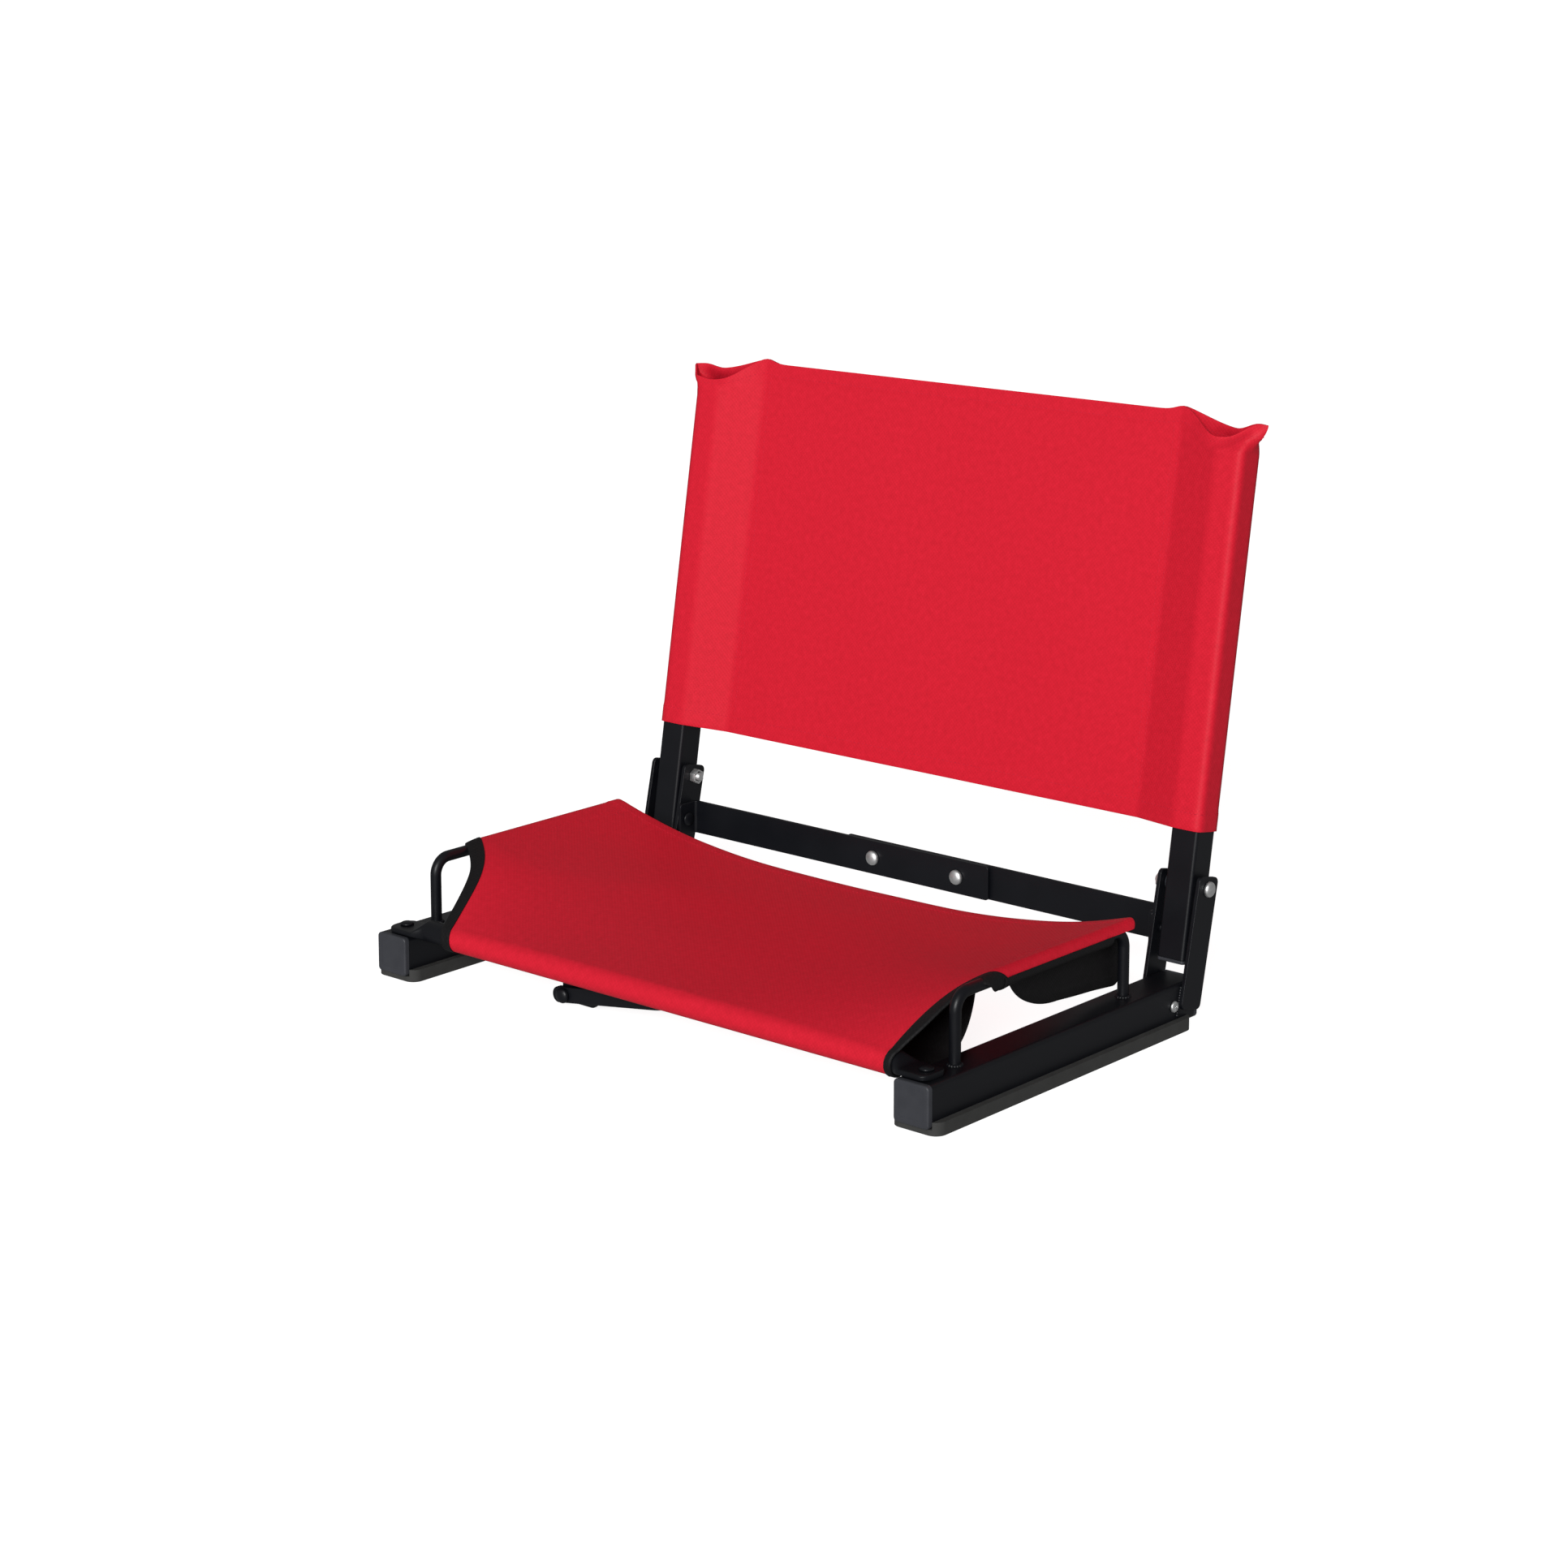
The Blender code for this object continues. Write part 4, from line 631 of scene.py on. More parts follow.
for side, low, sign in sides:
    pivot = Vector((sign * rail["x"], setback(hinge["pivotY"]), hinge["pivotZ"]))
    welds = bmesh.new()
    for where, face in (("Outer", sign), ("Inner", -sign)):
        tall = hinge["above"] + hinge["below"]
        shape = block((hinge["thick"], hinge["width"], tall), hinge["corner"], 0)
        slide(shape, (0, 0, hinge["above"] - tall / 2))
        softenEdges(shape, plateEdge)
        middle = pivot + Vector((face * (hinge["offset"] + hinge["thick"] / 2), 0, 0))
        settle(shape, Matrix.Translation(middle) @ Matrix.Rotation(-hinge["lean"], 4, "X"))
        addPiece(f"hingePlate{where}{side}", shape, "black_steel", f"hinge_plate_{low}_{where.lower()}")
        for i in range(hinge["beads"]):    # along the plate's front edge, where it crosses the rail
            z = rail["bottom"] + hinge["weldLow"] + i * hinge["weldStep"]
            x = sign * rail["x"] + face * (rail["size"] / 2 + hinge["weldOut"])
            addBead(welds, (x, pivot.y + plateFront(z) - gap, z), (face, -1, 0), hinge["weld"])
        shape = bushShape()
        settle(shape, pointing(pivot, (face, 0, 0)))
        addPiece(f"pivotBush{where}{side}", shape, "grey_plastic", f"pivot_bush_{low}_{where.lower()}",
                 sharp=50, flatFaces=False)
    addWelds(f"hingeWelds{side}", welds)
    reach = Vector((sign * (hinge["offset"] + hinge["thick"] + gap), 0, 0))
    shank = 2 * reach.length + nut["height"] + bolt["end"]
    shape = boltShape(shank, hinge["threaded"])
    addFastener(f"pivotBolt{side}", shape, pivot + reach, reach, f"pivot_bolt_{low}")
    addFastener(f"pivotNut{side}", nutShape(), pivot - reach, -reach, f"pivot_nut_{low}")

crossbar = {
    "height": 25.4 * mm, "thick": 3 * mm, "bottom": 50.3 * mm, "y": 302.5 * mm, "lap": 136 * mm,
    "boltSpacing": 79 * mm, "threaded": 6 * mm, "flange": 20 * mm, "rivetAt": 0.4, "bend": 5 * mm,
    "bendSteps": 8, "corner": 2.5 * mm,
}
crossbar["middle"] = crossbar["bottom"] + crossbar["height"] / 2
flangeX = rail["x"] - hinge["offset"] - hinge["thick"] - gap


def addBoltAndNut(name, node, place, grip, threaded, slotName="zinc"):    # head in front, nut behind
    shape = boltShape(grip + nut["height"] + bolt["end"] + gap, threaded)
    addFastener(name.format("Bolt"), shape, place, (0, -1, 0), node.format("bolt"), slotName)
    behind = (place[0], place[1] + grip + gap, place[2])
    addFastener(name.format("Nut"), nutShape(), behind, (0, 1, 0), node.format("nut"))


for side, low, sign in sides:
    front = setback(crossbar["y"])
    if sign > 0:    # lies behind the left one
        front += crossbar["thick"] + gap
    rear = front + crossbar["thick"]
    bendX, bendY = flangeX - crossbar["bend"], rear - crossbar["bend"]
    tip = rear - crossbar["flange"]
    lapX = -crossbar["lap"] / 2
    start = Matrix.Translation((sign * lapX, front + crossbar["thick"] / 2, crossbar["middle"]))
    shape = flatBar(crossbar["thick"], crossbar["height"], start @ sideways, [
        (sign * (bendX - lapX), 0, 0),
        ((sign * bendX, bendY, 0), (0, 0, 1), -sign * quarter, crossbar["bendSteps"]), (0, tip - bendY, 0)])
    ends = edgesAlong(shape, 1, 0, sign * lapX) + edgesAlong(shape, 0, 1, tip)
    roundEdges(shape, ends, crossbar["corner"], 5)
    softenEdges(shape, plateEdge)
    addPiece(f"crossbarFlat{side}", shape, "black_steel", f"crossbar_{low}")
    shape = rivetShape(crossbar["thick"] + hinge["thick"] + 3 * gap)
    place = (sign * (flangeX - crossbar["thick"] - gap), tip + crossbar["rivetAt"] * crossbar["flange"],
             crossbar["middle"])
    addFastener(f"flangeRivet{side}", shape, place, (-sign, 0, 0), f"flange_rivet_{low}", "black_steel")
    place = (sign * crossbar["boltSpacing"] / 2, setback(crossbar["y"]) - gap, crossbar["middle"])
    addBoltAndNut("crossbar{}" + side, "crossbar_{}_" + low, place, 2 * crossbar["thick"] + 3 * gap,
                  crossbar["threaded"])
for side, low, sign in sides:
    screwY = hinge["pivotY"] + plateFront(rail["middle"]) - screw["ahead"]
    place = (sign * (rail["x"] + rail["size"] / 2 + gap), setback(screwY), rail["middle"])
    addFastener(f"plugScrew{side}", screwShape(), place, (sign, 0, 0), f"plug_screw_{low}")
print("hinges, crossbar and fasteners made")

backPivot = Vector((0, setback(hinge["pivotY"]), hinge["pivotZ"]))
backTurn = Matrix.Translation(backPivot) @ Matrix.Rotation(-upright["lean"], 4, "X")    # upright's own frame
for side, low, sign in sides:
    standing = backTurn @ Matrix.Translation((sign * rail["x"], 0, 0))
    shape = squareTube(upright, -upright["below"], upright["above"])
    settle(shape, standing)
    addPiece(f"uprightTube{side}", shape, "black_steel", f"upright_{low}", "back")
    for end, height, turn in (("top", upright["above"], pi), ("bottom", -upright["below"], 0.0)):
        shape = endPlug(upright, upright["plug"], upright["stub"], False)
        settle(shape, standing @ Matrix.Translation((0, 0, height)) @ Matrix.Rotation(turn, 4, "X"))
        node = f"upright_{end}_plug_{low}"
        addPiece(f"upright{end.title()}Plug{side}", shape, "grey_plastic", node, "back")

bracket = {
    "y": 36.5 * mm, "width": 33 * mm, "thick": 3 * mm, "bend": 4 * mm, "bendSteps": 8, "edge": 6 * mm,
    "corner": 5 * mm, "weld": 1.4 * mm, "beads": 16, "weldWidth": 0.9, "weldOut": 0.2 * mm,
}
hook = {
    "x": -97 * mm, "y": 31.2 * mm, "z": 10.8 * mm, "width": 11.5 * mm, "thick": 5 * mm, "arm": 94 * mm,
    "end": 11 * mm, "toe": 44 * mm, "bend": 8 * mm, "bendSteps": 10, "rise": radians(8.6),
    "heelRound": 0.48, "toeRound": 0.3, "edge": 0.8 * mm, "threaded": 6 * mm,
}
bracket["rear"] = setback(bracket["y"] + bracket["thick"])
bracket["middle"] = hook["x"] - bracket["edge"] + bracket["width"] / 2
barRear = setback(bar["y"] + bar["radius"] + gap)
bendY = bracket["rear"] - bracket["bend"]
bendZ = bar["z"] + bracket["thick"] / 2 - bracket["bend"]
foot = hook["z"] - bracket["edge"]
start = Matrix.Translation((bracket["middle"], barRear, bar["z"]))
shape = flatBar(bracket["width"], bracket["thick"], start @ forward, [    # back from the bar, then down
    (0, bendY - barRear, 0), ((0, bendY, bendZ), (1, 0, 0), -quarter, bracket["bendSteps"]),
    (0, 0, foot - bendZ)])
roundEdges(shape, edgesAlong(shape, 1, 2, foot), bracket["corner"], 6)
softenEdges(shape, plateEdge)
addPiece("hookBracketPlate", shape, "black_steel", "hook_bracket")
welds = bmesh.new()
for i in range(bracket["beads"]):    # under the tongue, where it meets the front bar
    x = bracket["middle"] + bracket["width"] * bracket["weldWidth"] * (i / (bracket["beads"] - 1) - 0.5)
    place = (x, barRear + bracket["weldOut"], bar["z"] - bracket["thick"] / 2)
    addBead(welds, place, (0, 1, -1), bracket["weld"])
addWelds("bracketWeld", welds)

bendX = hook["arm"] - hook["bend"]
bendY = hook["thick"] + hook["bend"]
start = Matrix.Translation((-hook["end"], hook["thick"] / 2, 0))
shape = flatBar(hook["thick"], hook["width"], start @ sideways, [    # pivot at 0, arm along x, toe along y
    (hook["end"] + bendX, 0, 0), ((bendX, bendY, 0), (0, 0, 1), quarter, hook["bendSteps"]),
    (0, hook["toe"] - bendY, 0)])
roundEdges(shape, edgesAlong(shape, 1, 0, -hook["end"]), hook["heelRound"] * hook["width"], 8)
roundEdges(shape, edgesAlong(shape, 0, 1, hook["toe"]), hook["toeRound"] * hook["width"], 6)
softenEdges(shape, hook["edge"])
place = Vector((hook["x"], setback(hook["y"]), hook["z"]))
settle(shape, Matrix.Translation(place) @ Matrix.Rotation(-hook["rise"], 4, "Y"))
addPiece("hookArm", shape, "black_steel", "bleacher_hook", "hook")
addBoltAndNut("hook{}", "hook_{}", place - Vector((0, gap, 0)), hook["thick"] + bracket["thick"] + 3 * gap,
              hook["threaded"], "black_steel")
print("uprights and hook made")


def clothPiece(name, cloth, place, slotName, node=None, body="base", keep=None):
    # place(across, along) gives a point, its flat place on the cloth, and whether a hem doubles the cloth
    thick = cloth["thick"]
    hem = cloth.get("hem", thick)
    shape = bmesh.new()
    bmesh.ops.create_grid(shape, x_segments=cloth["columns"], y_segments=cloth["rows"], size=0.5)
    weaveMap = shape.loops.layers.uv.new("weave")
    doubled = shape.verts.layers.deform.verify()
    flat = {}
    for vert in shape.verts:
        vert.co, flat[vert], hemmed = place(vert.co.x + 0.5, vert.co.y + 0.5)
        vert[doubled][0] = 1.0 if hemmed else thick / hem
    for face in shape.faces:
        for loop in face.loops:
            loop[weaveMap].uv = flat[loop.vert]
    if keep:
        gone = [f for f in shape.faces if not keep(f.calc_center_median())]
        bmesh.ops.delete(shape, geom=gone, context="FACES")
    piece = addPiece(name, shape, slotName, node, body, 75, False)
    piece.vertex_groups.new(name="hem")
    wall = piece.modifiers.new("thickness", "SOLIDIFY")
    wall.thickness = hem
    wall.offset = 0.0
    wall.vertex_group = "hem"
    rim = piece.modifiers.new("softRim", "BEVEL")
    rim.width = 0.3 * thick
    rim.segments = 2
    rim.limit_method = "ANGLE"
    rim.angle_limit = radians(65)
    return piece


def clothWave(cloth, across, along, sign=1):    # slow noise for slack
    wide, tall = cloth["rippleSize"]
    return noise.noise(Vector((across / wide, along / tall, cloth["seed"] * sign)))


def flatArea(cloth, place):    # area of the flat cut, from its outline on the cloth
    across = [i / cloth["columns"] for i in range(cloth["columns"])]
    along = [j / cloth["rows"] for j in range(cloth["rows"])]
    edge = [(t, 0) for t in across] + [(1, t) for t in along]
    edge += [(1 - t, 1) for t in across] + [(0, 1 - t) for t in along]
    cut = [place(*spot)[1] for spot in edge]
    return abs(sum(a[0] * b[1] - b[0] * a[1] for a, b in zip(cut, cut[1:] + cut[:1]))) / 2


sewing = {
    "stitch": 3.0 * mm, "pitch": 3.8 * mm, "thread": 0.36 * mm, "sunk": 0.18 * mm,
    "batch": 40, "reach": 0.002,
}


def runs(points):    # length along a line at each of its points
    lengths = [0.0]
    for here, there in zip(points, points[1:]):
        lengths.append(lengths[-1] + (there - here).length)
    return lengths


def addStitches(shape, turns):    # a few at a time, because operators slow down as a mesh grows
    for first in range(0, len(turns), sewing["batch"]):
        few = bmesh.new()
        for matrix in turns[first:first + sewing["batch"]]:
            bmesh.ops.create_uvsphere(few, u_segments=6, v_segments=4, radius=1.0, matrix=matrix)
        mesh = toMesh("stitches", few)
        shape.from_mesh(mesh)
        bpy.data.meshes.remove(mesh)


def sewRow(shape, place, line, lift):    # lock stitches along a line of (across, along) pairs, on both faces
    points = [Vector(place(*spot)[0]) for spot in line]
    lengths = runs(points)
    step = sewing["reach"]
    size = Matrix.Diagonal((sewing["stitch"] / 2, sewing["thread"], sewing["thread"], 1))
    k = 0
    turns = []
    for i in range(int(lengths[-1] / sewing["pitch"])):
        reach = (i + 0.5) * sewing["pitch"]
        while lengths[k + 1] < reach:
            k += 1
        share = (reach - lengths[k]) / (lengths[k + 1] - lengths[k])
        a, b = (mix(here, there, share) for here, there in zip(line[k], line[k + 1]))
        across = Vector(place(min(a + step, 1), b)[0]) - Vector(place(max(a - step, 0), b)[0])
        along = Vector(place(a, min(b + step, 1))[0]) - Vector(place(a, max(b - step, 0))[0])
        normal = across.cross(along).normalized()
        tangent = (points[k + 1] - points[k]).normalized()
        turn = Matrix((tangent, normal.cross(tangent), normal)).transposed().to_4x4()
        for face in (1, -1):
            spot = Vector(place(a, b)[0]) + normal * face * (lift - sewing["sunk"])
            turns.append(Matrix.Translation(spot) @ turn @ size)
    addStitches(shape, turns)


def addSewing(name, place, rows, slotName, body="base"):    # rows of (line, height above the cloth's middle)
    shape = bmesh.new()
    for line, lift in rows:
        sewRow(shape, place, line, lift)
    return addPiece(name, shape, slotName, None, body, 60, False, threads[slotName])


sleeve = {
    "thick": 1.0 * mm, "hem": 1.7 * mm, "hemWidth": 14 * mm, "topHem": 0.8, "air": 0.5 * mm, "lap": 1.15 * mm,
    "hemZ": 39 * mm, "topZ": 325.8 * mm, "seam": 193 * mm, "allowance": 11 * mm,
    "peak": 3.2 * mm, "peakWidth": 9 * mm, "earReach": 69.9 * mm, "fold": 0.03, "layer": 0.6 * mm,
    "closing": 299.5 * mm, "closingRow": 0.74,    # where the pockets begin to close, share of the rows
    "dipAt": 0.6, "dipPower": 1.3, "dipEnd": 0.32,
    "ripple": 1.0 * mm, "rippleSize": (90 * mm, 120 * mm), "calm": 40 * mm, "seed": 3.7,
    "stitches": (0.86, 0.7), "twin": (1.2 * mm, 6.2 * mm), "columns": 230, "rows": 92,
}
ears = {    # how each pocket's mouth hangs
    -1: {"drop": 6.4 * mm, "dip": 4.7 * mm, "frontDip": 10 * mm, "mouth": 2 * mm, "lip": 8 * mm,
         "lean": -4 * mm, "open": 0.5, "shut": 0.15},
    1: {"drop": 3.8 * mm, "dip": 7 * mm, "frontDip": 9 * mm, "mouth": 3 * mm, "lip": 8 * mm,
        "lean": 0.0, "open": 0.5, "shut": 0.6},
}


def pocketSection():    # cloth round the right upright, from the seam in front to the seam behind
    radius = upright["corner"] + sleeve["air"] + sleeve["thick"] / 2
    core = upright["size"] / 2 - upright["corner"]
    start = Vector((sleeve["seam"], 0.0))
    toCentre = Vector((rail["x"] - core, -core)) - start
    lead = atan2(toCentre.y, toCentre.x) - acos(-radius / toCentre.length)
    path = [start]
    for right, behind, begin, end in ((-1, -1, lead, -quarter), (1, -1, -quarter, 0.0), (1, 1, 0.0, quarter),
                                      (-1, 1, quarter, -lead)):
        middle = Vector((rail["x"] + right * core, behind * core))
        for turn in span(begin, end, 8):
            path.append(middle + radius * Vector((cos(turn), sin(turn))))
    path.append(Vector((sleeve["seam"], sleeve["lap"])))
    return path


pocketPath = pocketSection()
pocketRun = runs(pocketPath)
pocketLength = pocketRun[-1]
halfCloth = sleeve["seam"] + pocketLength + sleeve["allowance"]


def onPocket(run):
    k = 0
    while k < len(pocketRun) - 2 and pocketRun[k + 1] < run:
        k += 1
    share = (run - pocketRun[k]) / (pocketRun[k + 1] - pocketRun[k])
    return pocketPath[k].lerp(pocketPath[k + 1], clamp(share))


def mouthDrop(ear, share):    # falls slowly from the seam, then rises to a flat ear
    if share < sleeve["dipAt"]:
        dip = sin(quarter * (share / sleeve["dipAt"]) ** sleeve["dipPower"])
    else:
        dip = cos(quarter * min((share - sleeve["dipAt"]) / sleeve["dipEnd"], 1.0)) ** 2
    return (sleeve["peak"] + ear["drop"]) * share + ear["dip"] * dip


def sleevePlace(across, along):
    run = (2 * across - 1) * halfCloth
    sign = -1 if run < 0 else 1
    run = abs(run)
    bend = run - sleeve["seam"]
    behind = bend - pocketLength
    pocketShare = 0.0
    if 0 < bend and behind < 0:
        x, depth = onPocket(bend)
        face = 1 if bend > pocketLength / 2 else -1
        pocketShare = min(bend, pocketLength - bend) / (pocketLength / 2)
        ear = ears[sign]
        gape = smoothStep(pocketShare / ear["open"]) * smoothStep((1 - pocketShare) / ear["shut"])
        top = sleeve["topZ"] + sleeve["peak"] - mouthDrop(ear, pocketShare)
        if face < 0:
            top -= ear["frontDip"] * gape    # the front layer droops
    else:
        x, depth, past = (run, 0.0, bend) if bend <= 0 else (sleeve["seam"] - behind, sleeve["lap"], behind)
        top = sleeve["topZ"] + sleeve["peak"] * exp(-(past / sleeve["peakWidth"]) ** 2)
    if along <= sleeve["closingRow"]:
        height = mix(sleeve["hemZ"], sleeve["closing"], along / sleeve["closingRow"])
        shut = 0.0
    else:
        share = (along - sleeve["closingRow"]) / (1 - sleeve["closingRow"])
        height = mix(sleeve["closing"], top, share)
        shut = smoothStep(share)
    if pocketShare:
        layer = sleeve["layer"] * min(1.0, (1 - pocketShare) / sleeve["fold"], pocketShare / sleeve["fold"])
        flatDepth = ear["lean"] * pocketShare + face * (layer + ear["lip" if face < 0 else "mouth"] * gape)
        if face > 0:
            flatDepth += sleeve["lap"] * (1 - pocketShare)
        x = mix(x, sleeve["seam"] + sleeve["earReach"] * pocketShare, shut)
        depth = mix(depth, flatDepth, shut)
    elif behind < 0:    # slack of the flat panel
        calm = min(1.0, -bend / sleeve["calm"])
        depth += sleeve["ripple"] * clothWave(sleeve, sign * x, height) * calm
    lowHem = sleeve["hemZ"] + sleeve["hemWidth"]
    highHem = top - sleeve["hemWidth"] * sleeve["topHem"]
    return backTurn @ Vector((sign * x, depth, height)), (sign * run, height), not lowHem <= height <= highHem


backCloth = clothPiece("backSleeveCloth", sleeve, sleevePlace, "red_cloth", "back_sleeve", "back")
lowStitch, highStitch = sleeve["stitches"]    # shares of the hem's width
lowRow = sleeve["closingRow"] * sleeve["hemWidth"] * lowStitch / (sleeve["closing"] - sleeve["hemZ"])
highRow = (1 - sleeve["closingRow"]) * sleeve["hemWidth"] * highStitch / (sleeve["topZ"] - sleeve["closing"])
rows = []
for along in (lowRow, 1 - highRow):
    rows.append(([(t, along) for t in span(0.018, 0.982)], sleeve["hem"] / 2))
pocketEdge = (halfCloth - sleeve["seam"]) / halfCloth / 2
for edge, inward in ((pocketEdge, 1), (1 - pocketEdge, -1)):    # twin rows that close a pocket
    for offset in sleeve["twin"]:
        across = edge + inward * offset / (2 * halfCloth)
        rows.append(([(across, t) for t in span(0, 1)], sleeve["thick"] / 2))
backSewing = addSewing("backSewing", sleevePlace, rows, "red_cloth", "back")
print("back sleeve made, cut", round(2 * halfCloth / mm), "mm wide")

seat = {
    "thick": 1.0 * mm, "hem": 1.5 * mm, "hemWidth": 11 * mm, "sag": 25.8 * mm, "sagPower": 3.0,
    "rear": 241 * mm, "bow": 4.5 * mm, "rampEnd": 95 * mm, "rampMiddle": 195 * mm, "rampPower": (1.75, 2.0),
    "tuck": radians(-100), "leave": radians(70), "wrap": radians(200), "lip": radians(80),
    "lipStart": 21 * mm, "lipRun": 11 * mm, "barRadius": 9.1 * mm, "rodRadius": 5.9 * mm,
    "notchHalf": 199.5 * mm, "shift": 13.5 * mm, "notchLength": 100 * mm, "notchLean": 0.45,
    "notchPower": 5.0, "notchEase": 0.08, "corner": 4 * mm, "cornerFrom": 0.72,
    "ripple": 0.8 * mm, "rippleSize": (80 * mm, 60 * mm), "rippleEdge": 6 * mm, "calm": 30 * mm, "seed": 9.1,
    "rollRows": 0.2, "notchRows": 0.6, "innerColumns": 0.6, "inner": 0.9,    # how the grid is shared out
    "stitches": 0.85, "twin": (9 * mm, 14 * mm), "columns": 120, "rows": 120,
}
leaveRod = atan(seat["sagPower"] * seat["sag"] / rail["x"])
edgeX = rail["x"] - seat["rodRadius"] * sin(leaveRod)
edgeZ = rod["height"] + seat["rodRadius"] * cos(leaveRod)
wrapEnd = edgeX + seat["rodRadius"] * (seat["wrap"] + leaveRod)
lipEnd = edgeX + seat["rodRadius"] * (seat["lip"] + leaveRod)
lipStart = rod["start"] + rod["length"] - rod["bend"] - seat["lipStart"]
leaveY = bar["y"] - seat["barRadius"] * cos(seat["leave"])
leaveZ = bar["z"] + seat["barRadius"] * sin(seat["leave"])
tuckV = leaveY + seat["barRadius"] * (seat["tuck"] - seat["leave"])


def sagHeight(x):
    return edgeZ - seat["sag"] * (1 - min(abs(x) / edgeX, 1.0) ** seat["sagPower"])


def seatPoint(s, v):    # s across the cloth and round the rods, v back from the bar and round it
    if v < leaveY:
        turn = seat["leave"] + (v - leaveY) / seat["barRadius"]
        return Vector((s, setback(bar["y"] - seat["barRadius"] * cos(turn)),
                       bar["z"] + seat["barRadius"] * sin(turn)))
    outer = smoothStep(abs(s) / edgeX)
    ramp = mix(seat["rampMiddle"], seat["rampEnd"], outer)
    t = min((v - leaveY) / (ramp - leaveY), 1.0)
    rise = 1 - (1 - t) ** mix(*seat["rampPower"], outer)
    x, z = s, sagHeight(s)
    past = abs(s) - edgeX
    if past > 0:
        roll = past / seat["rodRadius"] - leaveRod
        x = copysign(rail["x"] + seat["rodRadius"] * sin(roll), s)
        z = rod["height"] + seat["rodRadius"] * cos(roll)
    return Vector((mix(s, x, rise), setback(v), mix(leaveZ, z, rise)))


def seatSpot(s, v, lift):    # point above the middle of the cloth
    step = 0.05 * mm
    across = seatPoint(s + step, v) - seatPoint(s - step, v)
    along = seatPoint(s, v + step) - seatPoint(s, v - step)
    return seatPoint(s, v) + across.cross(along).normalized() * lift


def notchEdge(v, sign):    # s and slope of a cut-away corner's edge; the cloth sits a little to the right
    t = clamp(v / seat["notchLength"])
    start = seat["notchHalf"] + sign * seat["shift"]
    ease = seat["notchEase"]    # turns gently out of the straight run round the bar
    full = hypot(1, ease) - ease
    lean, power = seat["notchLean"], seat["notchPower"]
    share = lean * (hypot(t, ease) - ease) / full + (1 - lean) * t ** power
    slope = lean * t / hypot(t, ease) / full + (1 - lean) * power * t ** (power - 1)
    return mix(start, wrapEnd, share), slope * (wrapEnd - start) / seat["notchLength"]


tape = {
    "width": 9 * mm, "spread": 3 * mm, "spreadFrom": 60 * mm, "slim": 4 * mm, "slimFrom": 8 * mm,
    "change": 30 * mm, "tuckUnder": 0.6, "thick": 0.55 * mm, "top": 0.95 * mm, "bottom": -0.8 * mm,
    "edge": 1.0 * mm, "inset": 0.4 * mm, "flatColumns": 0.42, "rollRows": 0.18, "rowPower": 0.8,
    "weaveRun": 120 * mm, "stitches": 0.06, "edgeSteps": 50, "columns": 18, "rows": 110,
}


def tapeWidth(v, sign):    # wider over the rods, and slimmer where the right one ends on the bar's taper
    wide = tape["width"] + tape["spread"] * smoothStep((v - tape["spreadFrom"]) / tape["change"])
    if sign > 0:
        wide -= tape["slim"] * (1 - smoothStep((v - tape["slimFrom"]) / tape["change"]))
    return wide


def seatLimit(v, sign):    # how far the cloth reaches under the tape, and where its edge columns begin
    under = tapeWidth(v, sign) * tape["tuckUnder"]
    slope = notchEdge(v, sign)[1]
    steep = hypot(1, slope)
    limit = min(notchEdge(v + under * slope / steep, sign)[0] + under / steep, wrapEnd)
    inner = seat["inner"] * limit
    if v > lipStart:    # behind the straight rod only a lip is left
        limit = mix(wrapEnd, lipEnd, smoothStep((v - lipStart) / seat["lipRun"]))
    return limit, inner


def seatPlace(across, along):
    u = 2 * across - 1
    share = abs(u)
    rear = seat["rear"] - seat["bow"] * u * u
    rolled, notched, columns = seat["rollRows"], seat["notchRows"], seat["innerColumns"]
    behind = max((along - notched) / (1 - notched), 0.0)
    if along < rolled:
        v = mix(tuckV, leaveY, along / rolled)
    elif along < notched:
        v = mix(leaveY, seat["notchLength"], (along - rolled) / (notched - rolled))
    else:
        v = mix(seat["notchLength"], rear, behind)
    limit, inner = seatLimit(v, copysign(1, u))
    s = inner * share / columns if share < columns else mix(inner, limit, (share - columns) / (1 - columns))
    s = copysign(s, u)
    outer = max((share - seat["cornerFrom"]) / (1 - seat["cornerFrom"]), 0.0)
    v -= seat["corner"] * behind * outer ** 2    # rounded rear corners
    calm = clamp((edgeX - seat["rippleEdge"] - abs(s)) / seat["calm"]) * clamp((v - leaveY) / seat["calm"])
    lift = seat["ripple"] * clothWave(seat, s, v) * calm
    return seatSpot(s, v, lift), (s, v), v > rear - seat["hemWidth"]


def seatColumn(s, v, sign):    # share across the grid at which the cloth's s is
    limit, inner = seatLimit(v, sign)
    columns = seat["innerColumns"]
    share = columns * s / inner if s < inner else mix(columns, 1, (s - inner) / (limit - inner))
    return 0.5 + sign * share / 2


seatCloth = clothPiece("seatCloth", seat, seatPlace, "red_cloth", "seat_cloth")
behindNotch = seat["rear"] - seat["notchLength"]
rearHem = 1 - (1 - seat["notchRows"]) * seat["stitches"] * seat["hemWidth"] / behindNotch
rows = [([(t, rearHem) for t in span(0.08, 0.92)], seat["hem"] / 2)]
for sign in (-1, 1):    # seam that closes the sleeve round a rod
    for offset in seat["twin"]:
        line = []
        for along in span(0.62, 0.995, 120):
            v = seat["notchLength"] + behindNotch * (along - seat["notchRows"]) / (1 - seat["notchRows"])
            line.append((seatColumn(edgeX - offset, v, sign), along))
        rows.append((line, seat["thick"] / 2))
seatSewing = addSewing("seatSewing", seatPlace, rows, "red_cloth")
flatArea(seat, seatPlace)
print("seat made")


